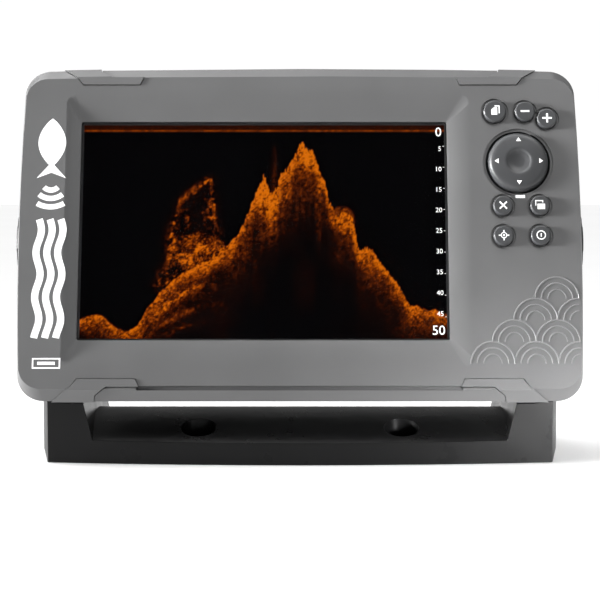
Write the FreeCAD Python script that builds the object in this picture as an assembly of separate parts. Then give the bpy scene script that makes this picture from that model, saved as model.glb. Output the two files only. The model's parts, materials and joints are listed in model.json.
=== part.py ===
import FreeCAD, Part
import math
import os

# Fish finder: a seven inch echo sounder display held in a low tilting bracket.
# Millimetres. +Z is up, the display faces -Y and +X is its right hand side as the user sees it.
# The origin is the centre of the bracket's screw pattern, on the bracket's underside.
# The display is modelled upright in its own frame (x across, y depth behind its front face,
# z up from the middle of the case) and is then leaned back about the tilt axis.

V = FreeCAD.Vector

# Screen: the lit area is a seven inch 5:3 picture
SCREEN_WIDTH = 152.4
SCREEN_HEIGHT = 91.44
SCREEN_Z = 1.2
SCREEN_MARGIN = 1.0

# Front bezel: borders from the lit area to the edges of the case, then the moulding
LEFT_BORDER = 26.4
KEY_BORDER = 56.8
TOP_BORDER = 24.68
BOTTOM_BORDER = 26.48
BEZEL_DEPTH = 12.0
SIDE_BOW = 1.3
TOP_BOW = 1.2
BOTTOM_BOW = 0.4
CORNER_RADIUS = 11.0
CHAMFER_DEPTH = 4.0
CHAMFER_RISE = 4.6
SIDE_CHAMFER = 1.0
REAR_TAPER = 1.2
REAR_TAPER_BOTTOM = 3.5
FACE_WALL = 3.6
FRONT_CORNER_STEP = 2.0
RIM_WALL = 2.0
SEAL_LEDGE = 2.2
LEDGE_STEP = 3.0
POST_FROM_SIDE = 12.0
POST_FROM_TOP = 13.0
POST_FROM_BOTTOM = 14.0
FRAME_DEPTH = 3.0
FRAME_LEFT = 6.0
FRAME_RIGHT = 9.8
FRAME_TOP = 11.2
FRAME_BOTTOM = 11.8
GROOVE_WIDTH = 1.8
GROOVE_DEPTH = 1.5
GROOVE_DROP = 0.2
FRAME_CORNER = 4.0
WINDOW_CORNER = 1.0

# Corner clips: places measured in from the side of the case
CLIP_SKIN = 2.0
CLIP_PROUD = 0.5
CLIP_GAP = 0.25
CLIP_REACH = 9.0
CLIP_INNER_INSET = 51.8
CLIP_NECK_INSET = 36.8
CLIP_OUTER_INSET = 23.8
CLIP_FACE_HEIGHT = 3.2
CLIP_TOP_DROP = 0.5
CLIP_BOTTOM_DROP = 1.2
CLIP_INNER_BEVEL = 1.6
CLIP_OUTER_BEVEL = 2.6
CLIP_TAB_RISE = 3.4
CLIP_TAB_FOOT = 1.5
CLIP_TAB_STEP = 3.2
CLIP_TAB_TOP = 4.6
CLIP_TAB_SLOPE = 1.4

# Keys: the cursor pad, then each key's clear gap from the pad, its angle round it and its radius
PAD_FROM_SIDE = 26.4
PAD_RISE = 29.4
PAD_RADIUS = 13.1
PAGE_KEY = (5.98, 113.2, 4.75)
ZOOM_OUT_KEY = (4.68, 81.65, 4.25)
ZOOM_IN_KEY = (5.17, 56.6, 4.25)
EXIT_KEY = (2.75, 250.0, 4.15)
MENU_KEY = (3.33, 294.7, 4.15)
LOWER_KEY_RADIUS = 4.2
LOWER_KEY_GAP = 4.45
KEY_PROUD = 1.9
KEY_GAP = 0.25
KEY_FLANGE = 0.45
KEY_FLANGE_THICKNESS = 0.7
KEY_FLANGE_GAP = 0.3
KEY_TRAVEL = 0.6
KEY_HALO = 1.1
KEY_HALO_DEPTH = 0.5
KEY_EDGE_ROUND = 0.8
PLUNGER_RADIUS = 1.6
PLUNGER_LENGTH = 0.6
PAD_PROUD = 3.0
PAD_GAP = 0.45
PAD_PLATEAU_INSET = 1.4
PAD_DISH_RADIUS = 5.0
PAD_DISH_DEPTH = 0.9
PAD_FLANGE_GAP = 0.9
PAD_FLANGE_THICKNESS = 0.6
PAD_PIVOT_RADIUS = 1.6
PAD_PIVOT_GAP = 0.2
DOME_RADIUS = 2.4
DOME_HEIGHT = 0.65
DOME_GAP = 0.15
DOME_REACH = 9.4
MAT_THICKNESS = 1.2
MAT_BORDER = 2.2
KEY_BOARD_THICKNESS = 1.2
KEY_BOARD_CORNER = 2.0
KEY_BOARD_WALL_GAP = 1.4
KEY_BOARD_POST_RADIUS = 1.7
KEY_BOARD_POST_GAP = 5.0
KEY_BOARD_SCREW_RADIUS = 0.9
MAT_GAP = 0.3
LIGHT_WIDTH = 3.8
LIGHT_HEIGHT = 1.1
LIGHT_OFFSET = 0.6
LIGHT_PROUD = 0.15

# Display stack behind the window
LENS_MARGIN = 3.5
LENS_THICKNESS = 1.0
GASKET_THICKNESS = 0.6
GASKET_WIDTH = 2.5
PANEL_MARGIN = 6.3
PANEL_THICKNESS = 1.2
BACKLIGHT_THICKNESS = 2.7
BACKLIGHT_INSET = 0.3

# Rear housing: steps in from the case, then the tapered box
HOUSING_SIDE_STEP = 27.8
HOUSING_BOTTOM_STEP = 11.0
HOUSING_STRAIGHT = 34.0
HOUSING_DEPTH = 56.0
HOUSING_TAPER_X = 12.0
HOUSING_TAPER_Z = 16.0
HOUSING_CORNER = 14.0
HOUSING_WALL = 2.5
SEAL_THICKNESS = 0.5
FLANGE_GAP = 0.2
RIB_COUNT = 9
RIB_PITCH = 9.0
RIB_WIDTH = 1.8
RIB_HEIGHT = 1.5
RIB_LENGTH = 15.0
RIB_DROP = 4.0

# Inside the housing
PLATE_THICKNESS = 1.5
PLATE_CLEARANCE = 0.8
POST_RADIUS = 3.5
POST_SIDE_GAP = 3.0
POST_END_GAP = 3.5
POST_SCREW_LENGTH = 8.0
BOARD_THICKNESS = 1.6
BOARD_SIDE_GAP = 15.0
BOARD_END_GAP = 14.0
BOARD_CORNER = 3.0
STANDOFF_INSET = 6.0
SHIELD_WIDTH = 48.0
SHIELD_LENGTH = 38.0
SHIELD_HEIGHT = 4.0
SHIELD_WALL = 0.6
SHIELD_X = -20.0
SHIELD_Z = 15.0
CAPACITOR_RADIUS = 4.2
CAPACITOR_HEIGHT = 11.0
CAPACITOR_PITCH = 11.0
INDUCTOR_WIDTH = 10.0
INDUCTOR_HEIGHT = 5.0
INDUCTOR_PITCH = 15.0
AERIAL_SIDE = 18.0
AERIAL_HEIGHT = 4.5
AERIAL_X = 37.0
AERIAL_Z = 29.0
BEEPER_RADIUS = 6.0
BEEPER_HOLE_RADIUS = 1.2
BEEPER_HEIGHT = 5.5
BEEPER_X = -60.0
BEEPER_Z = 20.0
RIBBON_THICKNESS = 0.3
RIBBON_LAP = 4.0
RIBBON_SLOT_GAP = 0.4
SCREEN_RIBBON_WIDTH = 22.0
SCREEN_RIBBON_X = 20.0
KEY_RIBBON_WIDTH = 10.0
KEY_RIBBON_INSET = 4.4
STANDOFF_LENGTH = 7.3
STANDOFF_RADIUS = 2.6
SCREW_RADIUS = 1.5
SCREW_HEAD_RADIUS = 2.5
SCREW_HEAD_HEIGHT = 1.8
SCREW_RECESS_WIDTH = 0.7
SCREW_RECESS_LENGTH = 4.0
SCREW_POST_RADIUS = 3.2
SCREW_POST_GAP = 0.3
SCREW_HOLE_GAP = 0.1

# Tilt pivot, hub, knob and bracket
TILT_REST = 15.0
PIVOT_DEPTH = 30.0
STUD_RADIUS = 4.0
RUNNING_GAP = 0.06
HUB_RADIUS = 13.0
HUB_LENGTH = 6.6
HUB_INSIDE_WALL = 3.0
INSERT_RADIUS = 6.0
INSERT_LENGTH = 18.5
WASHER_THICKNESS = 1.3
WASHER_GAP = 0.1
KNOB_RADIUS = 17.0
KNOB_LENGTH = 12.0
KNOB_LOBES = 7
KNOB_GAP = 0.4
KNOB_CHAMFER = 1.2
KNOB_SCALLOP_RADIUS = 5.0
KNOB_SCALLOP_REACH = 3.2
KNOB_RIM = 2.5
KNOB_CAP = 3.0
ARM_THICKNESS = 10.0
ARM_BOSS_RADIUS = 16.0
ARM_TAPER_DROP = 32.0
ARM_FOOT_INSET = 11.5
ARM_SHOULDER = 25.0
ARM_SHOULDER_RISE = 2.6
ARM_SHOULDER_STEP = 3.0
ARM_REAR_FOOT = 12.0
ARM_HOLLOW_DROP = 19.0
BRACKET_FRONT_INSET = 2.4
BRACKET_FLARE = 5.4
BRACKET_HALF_DEPTH = 39.0
BRACKET_BOW = 6.6
LIP_HEIGHT = 9.2
CREST_HEIGHT = 18.0
BRACKET_WALL = 3.0
SIDE_RELIEF = 2.0
SIDE_RELIEF_HEIGHT = 5.0
SCREW_SPACING_X = 86.0
SCREW_SPACING_Y = 46.0
SCREW_HOLE_RADIUS = 2.6
SCREW_SEAT_RADIUS = 7.5
SCREW_SEAT_HEIGHT = 7.0
SCREW_BOSS_WALL = 2.5
RIB_THICKNESS = 5.0

# Sockets, card door and vent on the rear wall: position across and up, then radii
SONAR_SOCKET = (-22.0, -20.0, 8.0)
POWER_SOCKET = (18.0, -20.0, 5.5)
SOCKET_WALL = 2.0
SOCKET_PROUD = 10.0
SOCKET_PIN_RADIUS = 0.6
SOCKET_PIN_LENGTH = 5.0
SOCKET_NUT_WALL = 4.0
O_RING_THICKNESS = 0.8
O_RING_WIDTH = 1.6
SOCKET_TAIL_WALL = 1.0
SOCKET_TAIL_LENGTH = 8.0
SOCKET_FLANGE = 2.0
SOCKET_NUT_THICKNESS = 3.5
VENT_PLUG = (-55.0, 22.0, 6.0)
CARD_X = 54.0
CARD_Z = 14.0
CARD_WIDTH = 17.0
CARD_HEIGHT = 8.0
CARD_TUNNEL = 6.0
DOOR_MARGIN = 3.0
DOOR_THICKNESS = 2.2
DOOR_GAP = 0.3
DOOR_PIN_RADIUS = 0.9
DOOR_BARREL_RADIUS = 2.0
DOOR_LUG_WIDTH = 2.5
DOOR_LIP = 1.5
CARD_WALL = 1.5
READER_WIDTH = 14.4
READER_HEIGHT = 3.2
READER_LENGTH = 15.0
READER_WALL = 1.0

# Case, housing and bracket, worked out from the sizes above
BEZEL_HALF_WIDTH = (LEFT_BORDER + SCREEN_WIDTH + KEY_BORDER) / 2
SCREEN_X = (LEFT_BORDER - KEY_BORDER) / 2
BEZEL_TOP = SCREEN_HEIGHT / 2 + SCREEN_Z + TOP_BORDER
BEZEL_BOTTOM = SCREEN_HEIGHT / 2 - SCREEN_Z + BOTTOM_BORDER
CLIP_INNER_X = BEZEL_HALF_WIDTH - CLIP_INNER_INSET
CLIP_NECK_X = BEZEL_HALF_WIDTH - CLIP_NECK_INSET
CLIP_OUTER_X = BEZEL_HALF_WIDTH - CLIP_OUTER_INSET
HOUSING_HALF_WIDTH = BEZEL_HALF_WIDTH - HOUSING_SIDE_STEP
HOUSING_HALF_HEIGHT = BEZEL_BOTTOM - HOUSING_BOTTOM_STEP
BOARD_WIDTH = 2 * (HOUSING_HALF_WIDTH - BOARD_SIDE_GAP)
BOARD_HEIGHT = 2 * (HOUSING_HALF_HEIGHT - BOARD_END_GAP)
HUB_FACE = HOUSING_HALF_WIDTH + HUB_LENGTH
BRACKET_HALF_WIDTH = HUB_FACE + WASHER_THICKNESS + WASHER_GAP + ARM_THICKNESS
PIVOT_HEIGHT = BEZEL_BOTTOM + CREST_HEIGHT
ARM_TAPER_TOP = PIVOT_HEIGHT - ARM_TAPER_DROP

# Depths of the layers
LENS_FRONT = FACE_WALL
PANEL_FRONT = LENS_FRONT + LENS_THICKNESS + GASKET_THICKNESS
BACKLIGHT_FRONT = PANEL_FRONT + PANEL_THICKNESS
PLATE_FRONT = BACKLIGHT_FRONT + BACKLIGHT_THICKNESS
PLATE_BACK = PLATE_FRONT + PLATE_THICKNESS
BOARD_FRONT = PLATE_BACK + STANDOFF_LENGTH
BOARD_BACK = BOARD_FRONT + BOARD_THICKNESS
LEDGE_DEPTH = BEZEL_DEPTH - LEDGE_STEP
FLANGE_FRONT = LEDGE_DEPTH + SEAL_THICKNESS
FLANGE_TOP = FACE_WALL + KEY_FLANGE_GAP
PLUNGER_TIP = FLANGE_TOP + KEY_FLANGE_THICKNESS + PLUNGER_LENGTH
KEY_BOARD_FRONT = PLUNGER_TIP + KEY_TRAVEL + DOME_GAP + DOME_HEIGHT
REAR_FACE = HOUSING_DEPTH
CURSOR_PAD = (BEZEL_HALF_WIDTH - PAD_FROM_SIDE, PAD_RISE, PAD_RADIUS)


def round_pad(key):
    """Place across and up, and radius, of a key set out round the cursor pad."""
    gap, angle, radius = key
    reach = PAD_RADIUS + gap + radius
    turn = math.radians(angle)
    return CURSOR_PAD[0] + reach * math.cos(turn), CURSOR_PAD[1] + reach * math.sin(turn), radius


def below(key):
    """Place of the key in the row under another."""
    x, z, radius = round_pad(key)
    return x, z - radius - LOWER_KEY_GAP - LOWER_KEY_RADIUS, LOWER_KEY_RADIUS


SMALL_KEYS = {
    "page_key": round_pad(PAGE_KEY),
    "zoom_out_key": round_pad(ZOOM_OUT_KEY),
    "zoom_in_key": round_pad(ZOOM_IN_KEY),
    "exit_key": round_pad(EXIT_KEY),
    "menu_key": round_pad(MENU_KEY),
    "waypoint_key": below(EXIT_KEY),
    "power_key": below(MENU_KEY),
}


def save(name, shape):
    """Write one sub-part."""
    shape.exportStep(os.path.join("parts", name + ".step"))


def lean(shape):
    """Carry a shape from the upright display frame to its place on the tilt axis."""
    shape = shape.copy()
    shape.translate(V(0, -PIVOT_DEPTH, 0))
    shape.rotate(V(0, 0, 0), V(1, 0, 0), -TILT_REST)
    shape.translate(V(0, 0, PIVOT_HEIGHT))
    return shape


def block(x0, x1, y0, y1, z0, z1):
    """Box between two corners."""
    return Part.makeBox(x1 - x0, y1 - y0, z1 - z0, V(x0, y0, z0))


def disc(x, z, radius, y0, y1):
    """Round bar along Y."""
    return Part.makeCylinder(radius, y1 - y0, V(x, y0, z), V(0, 1, 0))


def ring(x, z, inner, outer, y0, y1):
    """Round ring along Y."""
    return disc(x, z, outer, y0, y1).cut(disc(x, z, inner, y0 - 1, y1 + 1))


def cross_bar(x0, x1, radius):
    """Round bar along X on the tilt axis of the upright display."""
    return Part.makeCylinder(radius, abs(x1 - x0), V(min(x0, x1), PIVOT_DEPTH, 0), V(1, 0, 0))


def joined(shapes):
    """One solid from several that share faces or overlap."""
    shapes = list(shapes)
    return shapes[0].fuse(shapes[1:]).removeSplitter() if len(shapes) > 1 else shapes[0]


def group(shapes):
    """Several separate solids in one sub-part."""
    return Part.makeCompound(list(shapes))


def round_wire(x0, x1, z0, z1, radius, y):
    """Rounded rectangle across the display at one depth."""
    half = radius * math.sqrt(0.5)
    corners = [(x1 - radius, z1 - radius, 1, 1), (x1 - radius, z0 + radius, 1, -1),
               (x0 + radius, z0 + radius, -1, -1), (x0 + radius, z1 - radius, -1, 1)]
    arcs = []
    for cx, cz, sx, sz in corners:
        ends = [V(cx, y, cz + sz * radius), V(cx + sx * radius, y, cz)]
        if sx * sz < 0:
            ends.reverse()
        arcs.append(Part.Arc(ends[0], V(cx + sx * half, y, cz + sz * half), ends[1]).toShape())
    edges = []
    for index, arc in enumerate(arcs):
        following = arcs[(index + 1) % len(arcs)]
        edges.append(arc)
        edges.append(Part.LineSegment(arc.lastVertex().Point, following.firstVertex().Point).toShape())
    return Part.Wire(edges)


def round_block(x0, x1, z0, z1, radius, y0, y1):
    """Plate with round corners, from one depth to another."""
    return Part.Face(round_wire(x0, x1, z0, z1, radius, y0)).extrude(V(0, y1 - y0, 0))


def prism(points, y0, y1):
    """Straight sided prism along Y over an outline of (x, z) points."""
    loop = [V(x, y0, z) for x, z in points]
    return Part.Face(Part.makePolygon(loop + loop[:1])).extrude(V(0, y1 - y0, 0))


def hexagon(x, z, across, y0, y1):
    """Hexagon bar along Y, by its width across the flats."""
    radius = across / math.sqrt(3)
    points = [(x + radius * math.cos(math.radians(60 * k)),
               z + radius * math.sin(math.radians(60 * k))) for k in range(6)]
    return prism(points, y0, y1)


def turned(points, x, z):
    """Solid of revolution along Y from a (radius, depth) outline."""
    loop = [V(r, y, 0) for r, y in points]
    face = Part.Face(Part.makePolygon(loop + loop[:1]))
    solid = face.revolve(V(0, 0, 0), V(0, 1, 0), 360)
    solid.translate(V(x, 0, z))
    return solid


def bezel_wire(y, side, top, bottom, radius):
    """Bowed outline of the bezel at one depth, drawn in by side, top and bottom."""
    a = BEZEL_HALF_WIDTH - side
    t = BEZEL_TOP - top
    b = BEZEL_BOTTOM - bottom
    cx = a - SIDE_BOW - radius
    ct = t - TOP_BOW - radius
    cb = b - BOTTOM_BOW - radius
    half = radius * math.sqrt(0.5)
    edge = a - SIDE_BOW
    path = [
        [V(-cx, y, t - TOP_BOW), V(0, y, t), V(cx, y, t - TOP_BOW)],
        [V(cx, y, t - TOP_BOW), V(cx + half, y, ct + half), V(edge, y, ct)],
        [V(edge, y, ct), V(a, y, 0), V(edge, y, -cb)],
        [V(edge, y, -cb), V(cx + half, y, -cb - half), V(cx, y, -b + BOTTOM_BOW)],
        [V(cx, y, -b + BOTTOM_BOW), V(0, y, -b), V(-cx, y, -b + BOTTOM_BOW)],
        [V(-cx, y, -b + BOTTOM_BOW), V(-cx - half, y, -cb - half), V(-edge, y, -cb)],
        [V(-edge, y, -cb), V(-a, y, 0), V(-edge, y, ct)],
        [V(-edge, y, ct), V(-cx - half, y, ct + half), V(-cx, y, t - TOP_BOW)],
    ]
    return Part.Wire([Part.Arc(*three).toShape() for three in path])


def bezel_body(grow):
    """Closed outer form of the bezel, grown outwards on every side."""
    front = bezel_wire(-grow, SIDE_CHAMFER - grow, CHAMFER_RISE - grow, CHAMFER_RISE - grow,
                       CORNER_RADIUS - FRONT_CORNER_STEP + grow)
    widest = bezel_wire(CHAMFER_DEPTH, -grow, -grow, -grow, CORNER_RADIUS + grow)
    back = bezel_wire(BEZEL_DEPTH, REAR_TAPER - grow, REAR_TAPER - grow, REAR_TAPER_BOTTOM - grow,
                      CORNER_RADIUS + grow)
    return Part.makeLoft([front, widest, back], True, True)


def bezel_slab(inset, y0, y1):
    """Straight block that follows the bezel's rear outline, drawn in by inset."""
    wire = bezel_wire(y0, REAR_TAPER + inset, REAR_TAPER + inset, REAR_TAPER_BOTTOM + inset,
                      CORNER_RADIUS - inset)
    return Part.Face(wire).extrude(V(0, y1 - y0, 0))


def clip_outline(side, up, gap):
    """Outline of a corner clip: a bar on the face and a tab that turns over the edge."""
    line = (BEZEL_TOP if up else BEZEL_BOTTOM) - CHAMFER_RISE
    line -= CLIP_TOP_DROP if up else CLIP_BOTTOM_DROP
    low = line - CLIP_FACE_HEIGHT - gap
    beyond = (BEZEL_TOP if up else BEZEL_BOTTOM) + 4
    rise = beyond - line
    points = [
        (CLIP_INNER_X - gap, line + gap),
        (CLIP_INNER_X + CLIP_INNER_BEVEL - gap, low),
        (CLIP_OUTER_X - CLIP_OUTER_BEVEL + gap, low),
        (CLIP_OUTER_X + gap, line),
        (CLIP_OUTER_X + gap + rise * CLIP_TAB_SLOPE, beyond),
        (CLIP_NECK_X + CLIP_TAB_TOP - gap, beyond),
        (CLIP_NECK_X + CLIP_TAB_STEP - gap, line + CLIP_TAB_RISE),
        (CLIP_NECK_X - CLIP_TAB_FOOT - gap, line + gap),
    ]
    flip = 1 if up else -1
    return [(side * x, flip * z) for x, z in points]


def corner_clip(side, up):
    """Plastic clip that wraps from the face over the top or bottom edge."""
    cutter = prism(clip_outline(side, up, 0), -2, CLIP_REACH)
    return cutter.common(bezel_body(CLIP_PROUD)).cut(bezel_body(-CLIP_SKIN))


def window(margin, y0, y1, radius=2.0):
    """Block over the lit area, grown by margin."""
    return round_block(SCREEN_X - SCREEN_WIDTH / 2 - margin, SCREEN_X + SCREEN_WIDTH / 2 + margin,
                       SCREEN_Z - SCREEN_HEIGHT / 2 - margin, SCREEN_Z + SCREEN_HEIGHT / 2 + margin,
                       radius, y0, y1)


def frame_cut():
    """Sloping picture frame that leads down to the window."""
    x0 = SCREEN_X - SCREEN_WIDTH / 2 - SCREEN_MARGIN
    x1 = SCREEN_X + SCREEN_WIDTH / 2 + SCREEN_MARGIN
    z0 = SCREEN_Z - SCREEN_HEIGHT / 2 - SCREEN_MARGIN
    z1 = SCREEN_Z + SCREEN_HEIGHT / 2 + SCREEN_MARGIN
    outer = round_wire(x0 - FRAME_LEFT, x1 + FRAME_RIGHT, z0 - FRAME_BOTTOM, z1 + FRAME_TOP, FRAME_CORNER, 0)
    inner = round_wire(x0, x1, z0, z1, WINDOW_CORNER, FRAME_DEPTH)
    slope = Part.makeLoft([outer, inner], True, True)
    lead = Part.Face(outer).extrude(V(0, -2, 0))
    through = Part.Face(inner).extrude(V(0, FACE_WALL, 0))
    return [slope, lead, through]


def screw_posts():
    """Places of the posts that take the housing screws: four corners and two mid points."""
    x = BEZEL_HALF_WIDTH - POST_FROM_SIDE
    top = BEZEL_TOP - POST_FROM_TOP
    low = BEZEL_BOTTOM - POST_FROM_BOTTOM
    middle = HOUSING_HALF_HEIGHT + SCREW_HEAD_RADIUS + SCREW_POST_GAP
    return [(x, top), (-x, top), (x, -low), (-x, -low), (SCREEN_X, middle), (SCREEN_X, -middle)]


def front_bezel():
    """Front moulding with window, key holes, clip seats and the step that takes the housing."""
    body = bezel_body(0)
    deep = bezel_slab(RIM_WALL + SEAL_LEDGE, FACE_WALL, BEZEL_DEPTH + 1)
    step = bezel_slab(RIM_WALL, LEDGE_DEPTH, BEZEL_DEPTH + 1)
    body = body.cut(deep).cut(step)
    posts = [disc(x, z, SCREW_POST_RADIUS, FACE_WALL - 0.5, LEDGE_DEPTH - 0.1) for x, z in screw_posts()]
    posts += [disc(x, z, KEY_BOARD_POST_RADIUS, FACE_WALL - 0.5, KEY_BOARD_FRONT)
              for x, z in key_board_posts()]
    body = body.fuse(posts)
    pilots = [disc(x, z, SCREW_RADIUS, FACE_WALL + 0.6, BEZEL_DEPTH) for x, z in screw_posts()]
    pilots += [disc(x, z, KEY_BOARD_SCREW_RADIUS, FACE_WALL, BEZEL_DEPTH) for x, z in key_board_posts()]
    holes = []
    for x, z, radius in SMALL_KEYS.values():
        holes.append(disc(x, z, radius + KEY_GAP, -1, FACE_WALL + 1))
        holes.append(disc(x, z, radius + KEY_HALO, -1, KEY_HALO_DEPTH))
    x, z, radius = CURSOR_PAD
    holes.append(disc(x, z, radius + PAD_GAP, -1, FACE_WALL + 1))
    holes.append(disc(x, z, radius + PAD_GAP + KEY_HALO, -1, KEY_HALO_DEPTH))
    holes.append(zoom_neck())
    lx, lz = light_place()
    holes.append(block(lx - LIGHT_WIDTH / 2, lx + LIGHT_WIDTH / 2, -1, FACE_WALL + 1,
                       lz - LIGHT_HEIGHT / 2, lz + LIGHT_HEIGHT / 2))
    body = body.cut(pilots + holes + frame_cut())
    core = bezel_body(-CLIP_SKIN)
    for side in (-1, 1):
        for up in (True, False):
            seat = prism(clip_outline(side, up, CLIP_GAP), -2, CLIP_REACH + CLIP_GAP)
            body = body.cut(seat.cut(core))
    line = BEZEL_BOTTOM - CHAMFER_RISE
    groove = block(-CLIP_INNER_X - 1, CLIP_INNER_X + 1, -1, GROOVE_DEPTH,
                   -line - GROOVE_DROP, -line - GROOVE_DROP + GROOVE_WIDTH)
    return body.cut(groove)


def key_board_posts():
    """Places of the three posts that the key board is screwed to, round the cursor pad."""
    x, z, radius = CURSOR_PAD
    reach = radius + KEY_BOARD_POST_GAP
    turns = [math.radians(angle) for angle in (135, 225, 315)]
    return [(x + reach * math.cos(turn), z + reach * math.sin(turn)) for turn in turns]


def zoom_neck():
    """Shallow neck between the two zoom keys."""
    ax, az, radius = SMALL_KEYS["zoom_out_key"]
    bx, bz, _ = SMALL_KEYS["zoom_in_key"]
    angle = math.degrees(math.atan2(bz - az, bx - ax))
    length = math.hypot(bx - ax, bz - az)
    neck = block(0, length, -1, KEY_HALO_DEPTH + 0.6, -radius * 0.45, radius * 0.45)
    neck.rotate(V(0, 0, 0), V(0, 1, 0), -angle)
    neck.translate(V(ax, 0, az))
    return neck


def light_place():
    """The status light sits just under the cursor pad."""
    x, z, radius = CURSOR_PAD
    return x + LIGHT_OFFSET, z - radius - KEY_FLANGE - LIGHT_OFFSET - LIGHT_HEIGHT / 2


def small_key(x, z, radius):
    """Round key with a retaining flange and a plunger."""
    cap = disc(x, z, radius, -KEY_PROUD, FLANGE_TOP + KEY_FLANGE_THICKNESS)
    edge = [e for e in cap.Edges if abs(e.BoundBox.YMax + KEY_PROUD) < 0.01 and e.Length > 1]
    cap = cap.makeFillet(KEY_EDGE_ROUND, edge)
    flange = disc(x, z, radius + KEY_FLANGE, FLANGE_TOP, FLANGE_TOP + KEY_FLANGE_THICKNESS)
    plunger = disc(x, z, PLUNGER_RADIUS, FLANGE_TOP, PLUNGER_TIP)
    return joined([cap, flange, plunger])


def cursor_pad():
    """Rocking four way pad with a dished middle."""
    x, z, radius = CURSOR_PAD
    top = -PAD_PROUD
    plateau = radius - PAD_PLATEAU_INSET
    flange = FACE_WALL + PAD_FLANGE_GAP
    outline = [(0, top + PAD_DISH_DEPTH), (PAD_DISH_RADIUS * 0.6, top + PAD_DISH_DEPTH * 0.8),
               (PAD_DISH_RADIUS, top), (plateau - 0.6, top + 0.5), (plateau, top + 0.9),
               (radius, 0.2), (radius, flange), (radius + KEY_FLANGE, flange),
               (radius + KEY_FLANGE, flange + PAD_FLANGE_THICKNESS), (0, flange + PAD_FLANGE_THICKNESS)]
    return turned(outline, x, z)


def pad_pivot():
    """Small post under the cursor pad that lets it rock both ways."""
    x, z, _ = CURSOR_PAD
    front = FACE_WALL + PAD_FLANGE_GAP + PAD_FLANGE_THICKNESS + PAD_PIVOT_GAP
    return disc(x, z, PAD_PIVOT_RADIUS, front, KEY_BOARD_FRONT - PAD_PIVOT_GAP)


def keypad_limits():
    """Extent of the key mat and board: across to the side wall, then up."""
    spots = list(SMALL_KEYS.values()) + [CURSOR_PAD]
    grow = KEY_FLANGE + MAT_BORDER
    x0 = min(x - r for x, z, r in spots) - grow
    x1 = BEZEL_HALF_WIDTH - SIDE_BOW - REAR_TAPER - RIM_WALL - SEAL_LEDGE - KEY_BOARD_WALL_GAP
    z0 = min(z - r for x, z, r in spots) - grow
    z1 = max(z + r for x, z, r in spots) + grow
    return x0, x1, z0, z1


def keypad_mat():
    """Silicone mat around the keys, against the back of the face."""
    x0, x1, z0, z1 = keypad_limits()
    mat = round_block(x0, x1, z0, z1, KEY_BOARD_CORNER, FACE_WALL, FACE_WALL + MAT_THICKNESS)
    x, z, radius = CURSOR_PAD
    cuts = [disc(x, z, radius + KEY_FLANGE + MAT_GAP, FACE_WALL - 1, FACE_WALL + 3)]
    for x, z, radius in SMALL_KEYS.values():
        cuts.append(disc(x, z, radius + KEY_FLANGE + MAT_GAP, FACE_WALL - 1, FACE_WALL + 3))
    lx, lz = light_place()
    cuts.append(block(lx - LIGHT_WIDTH / 2 - MAT_GAP, lx + LIGHT_WIDTH / 2 + MAT_GAP, FACE_WALL - 1,
                      FACE_WALL + 3, lz - LIGHT_HEIGHT / 2 - MAT_GAP, lz + LIGHT_HEIGHT))
    cuts += [disc(px, pz, KEY_BOARD_POST_RADIUS + MAT_GAP, FACE_WALL - 1, FACE_WALL + 3)
             for px, pz in key_board_posts()]
    return max(mat.cut(cuts + post_clearances()).Solids, key=lambda solid: solid.Volume)


def post_clearances():
    """Room round the bezel's posts, through the key mat and board."""
    return [disc(x, z, SCREW_POST_RADIUS + 0.4, FACE_WALL - 1, BEZEL_DEPTH) for x, z in screw_posts()]


def keypad_board():
    """Circuit board that carries the key switches."""
    x0, x1, z0, z1 = keypad_limits()
    back = KEY_BOARD_FRONT + KEY_BOARD_THICKNESS
    board = round_block(x0, x1, z0, z1, KEY_BOARD_CORNER, KEY_BOARD_FRONT, back)
    holes = [disc(x, z, KEY_BOARD_SCREW_RADIUS + SCREW_HOLE_GAP, KEY_BOARD_FRONT - 1, back + 1)
             for x, z in key_board_posts()]
    return board.cut(post_clearances() + holes)


def keypad_screws():
    """Small screws that hold the key board to its posts."""
    back = KEY_BOARD_FRONT + KEY_BOARD_THICKNESS
    head = KEY_BOARD_SCREW_RADIUS + SCREW_HEAD_RADIUS - SCREW_RADIUS
    screws = []
    for x, z in key_board_posts():
        shank = disc(x, z, KEY_BOARD_SCREW_RADIUS, FACE_WALL, back)
        screws.append(joined([shank, disc(x, z, head, back, back + KEY_BOARD_SCREW_RADIUS)]))
    return group(screws)


def dome_switches():
    """Snap domes on the key board, one under each key and four under the cursor pad."""
    spots = [(x, z) for x, z, _ in SMALL_KEYS.values()]
    x, z, _ = CURSOR_PAD
    spots += [(x + DOME_REACH, z), (x - DOME_REACH, z), (x, z + DOME_REACH), (x, z - DOME_REACH)]
    front = KEY_BOARD_FRONT - DOME_HEIGHT
    return group([turned([(0, front), (DOME_RADIUS * 0.6, front), (DOME_RADIUS, KEY_BOARD_FRONT),
                          (0, KEY_BOARD_FRONT)], px, pz) for px, pz in spots])


def status_light():
    """Clear light pipe from the key board to the face."""
    lx, lz = light_place()
    return block(lx - LIGHT_WIDTH / 2, lx + LIGHT_WIDTH / 2, -LIGHT_PROUD, KEY_BOARD_FRONT,
                 lz - LIGHT_HEIGHT / 2, lz + LIGHT_HEIGHT / 2)


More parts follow.
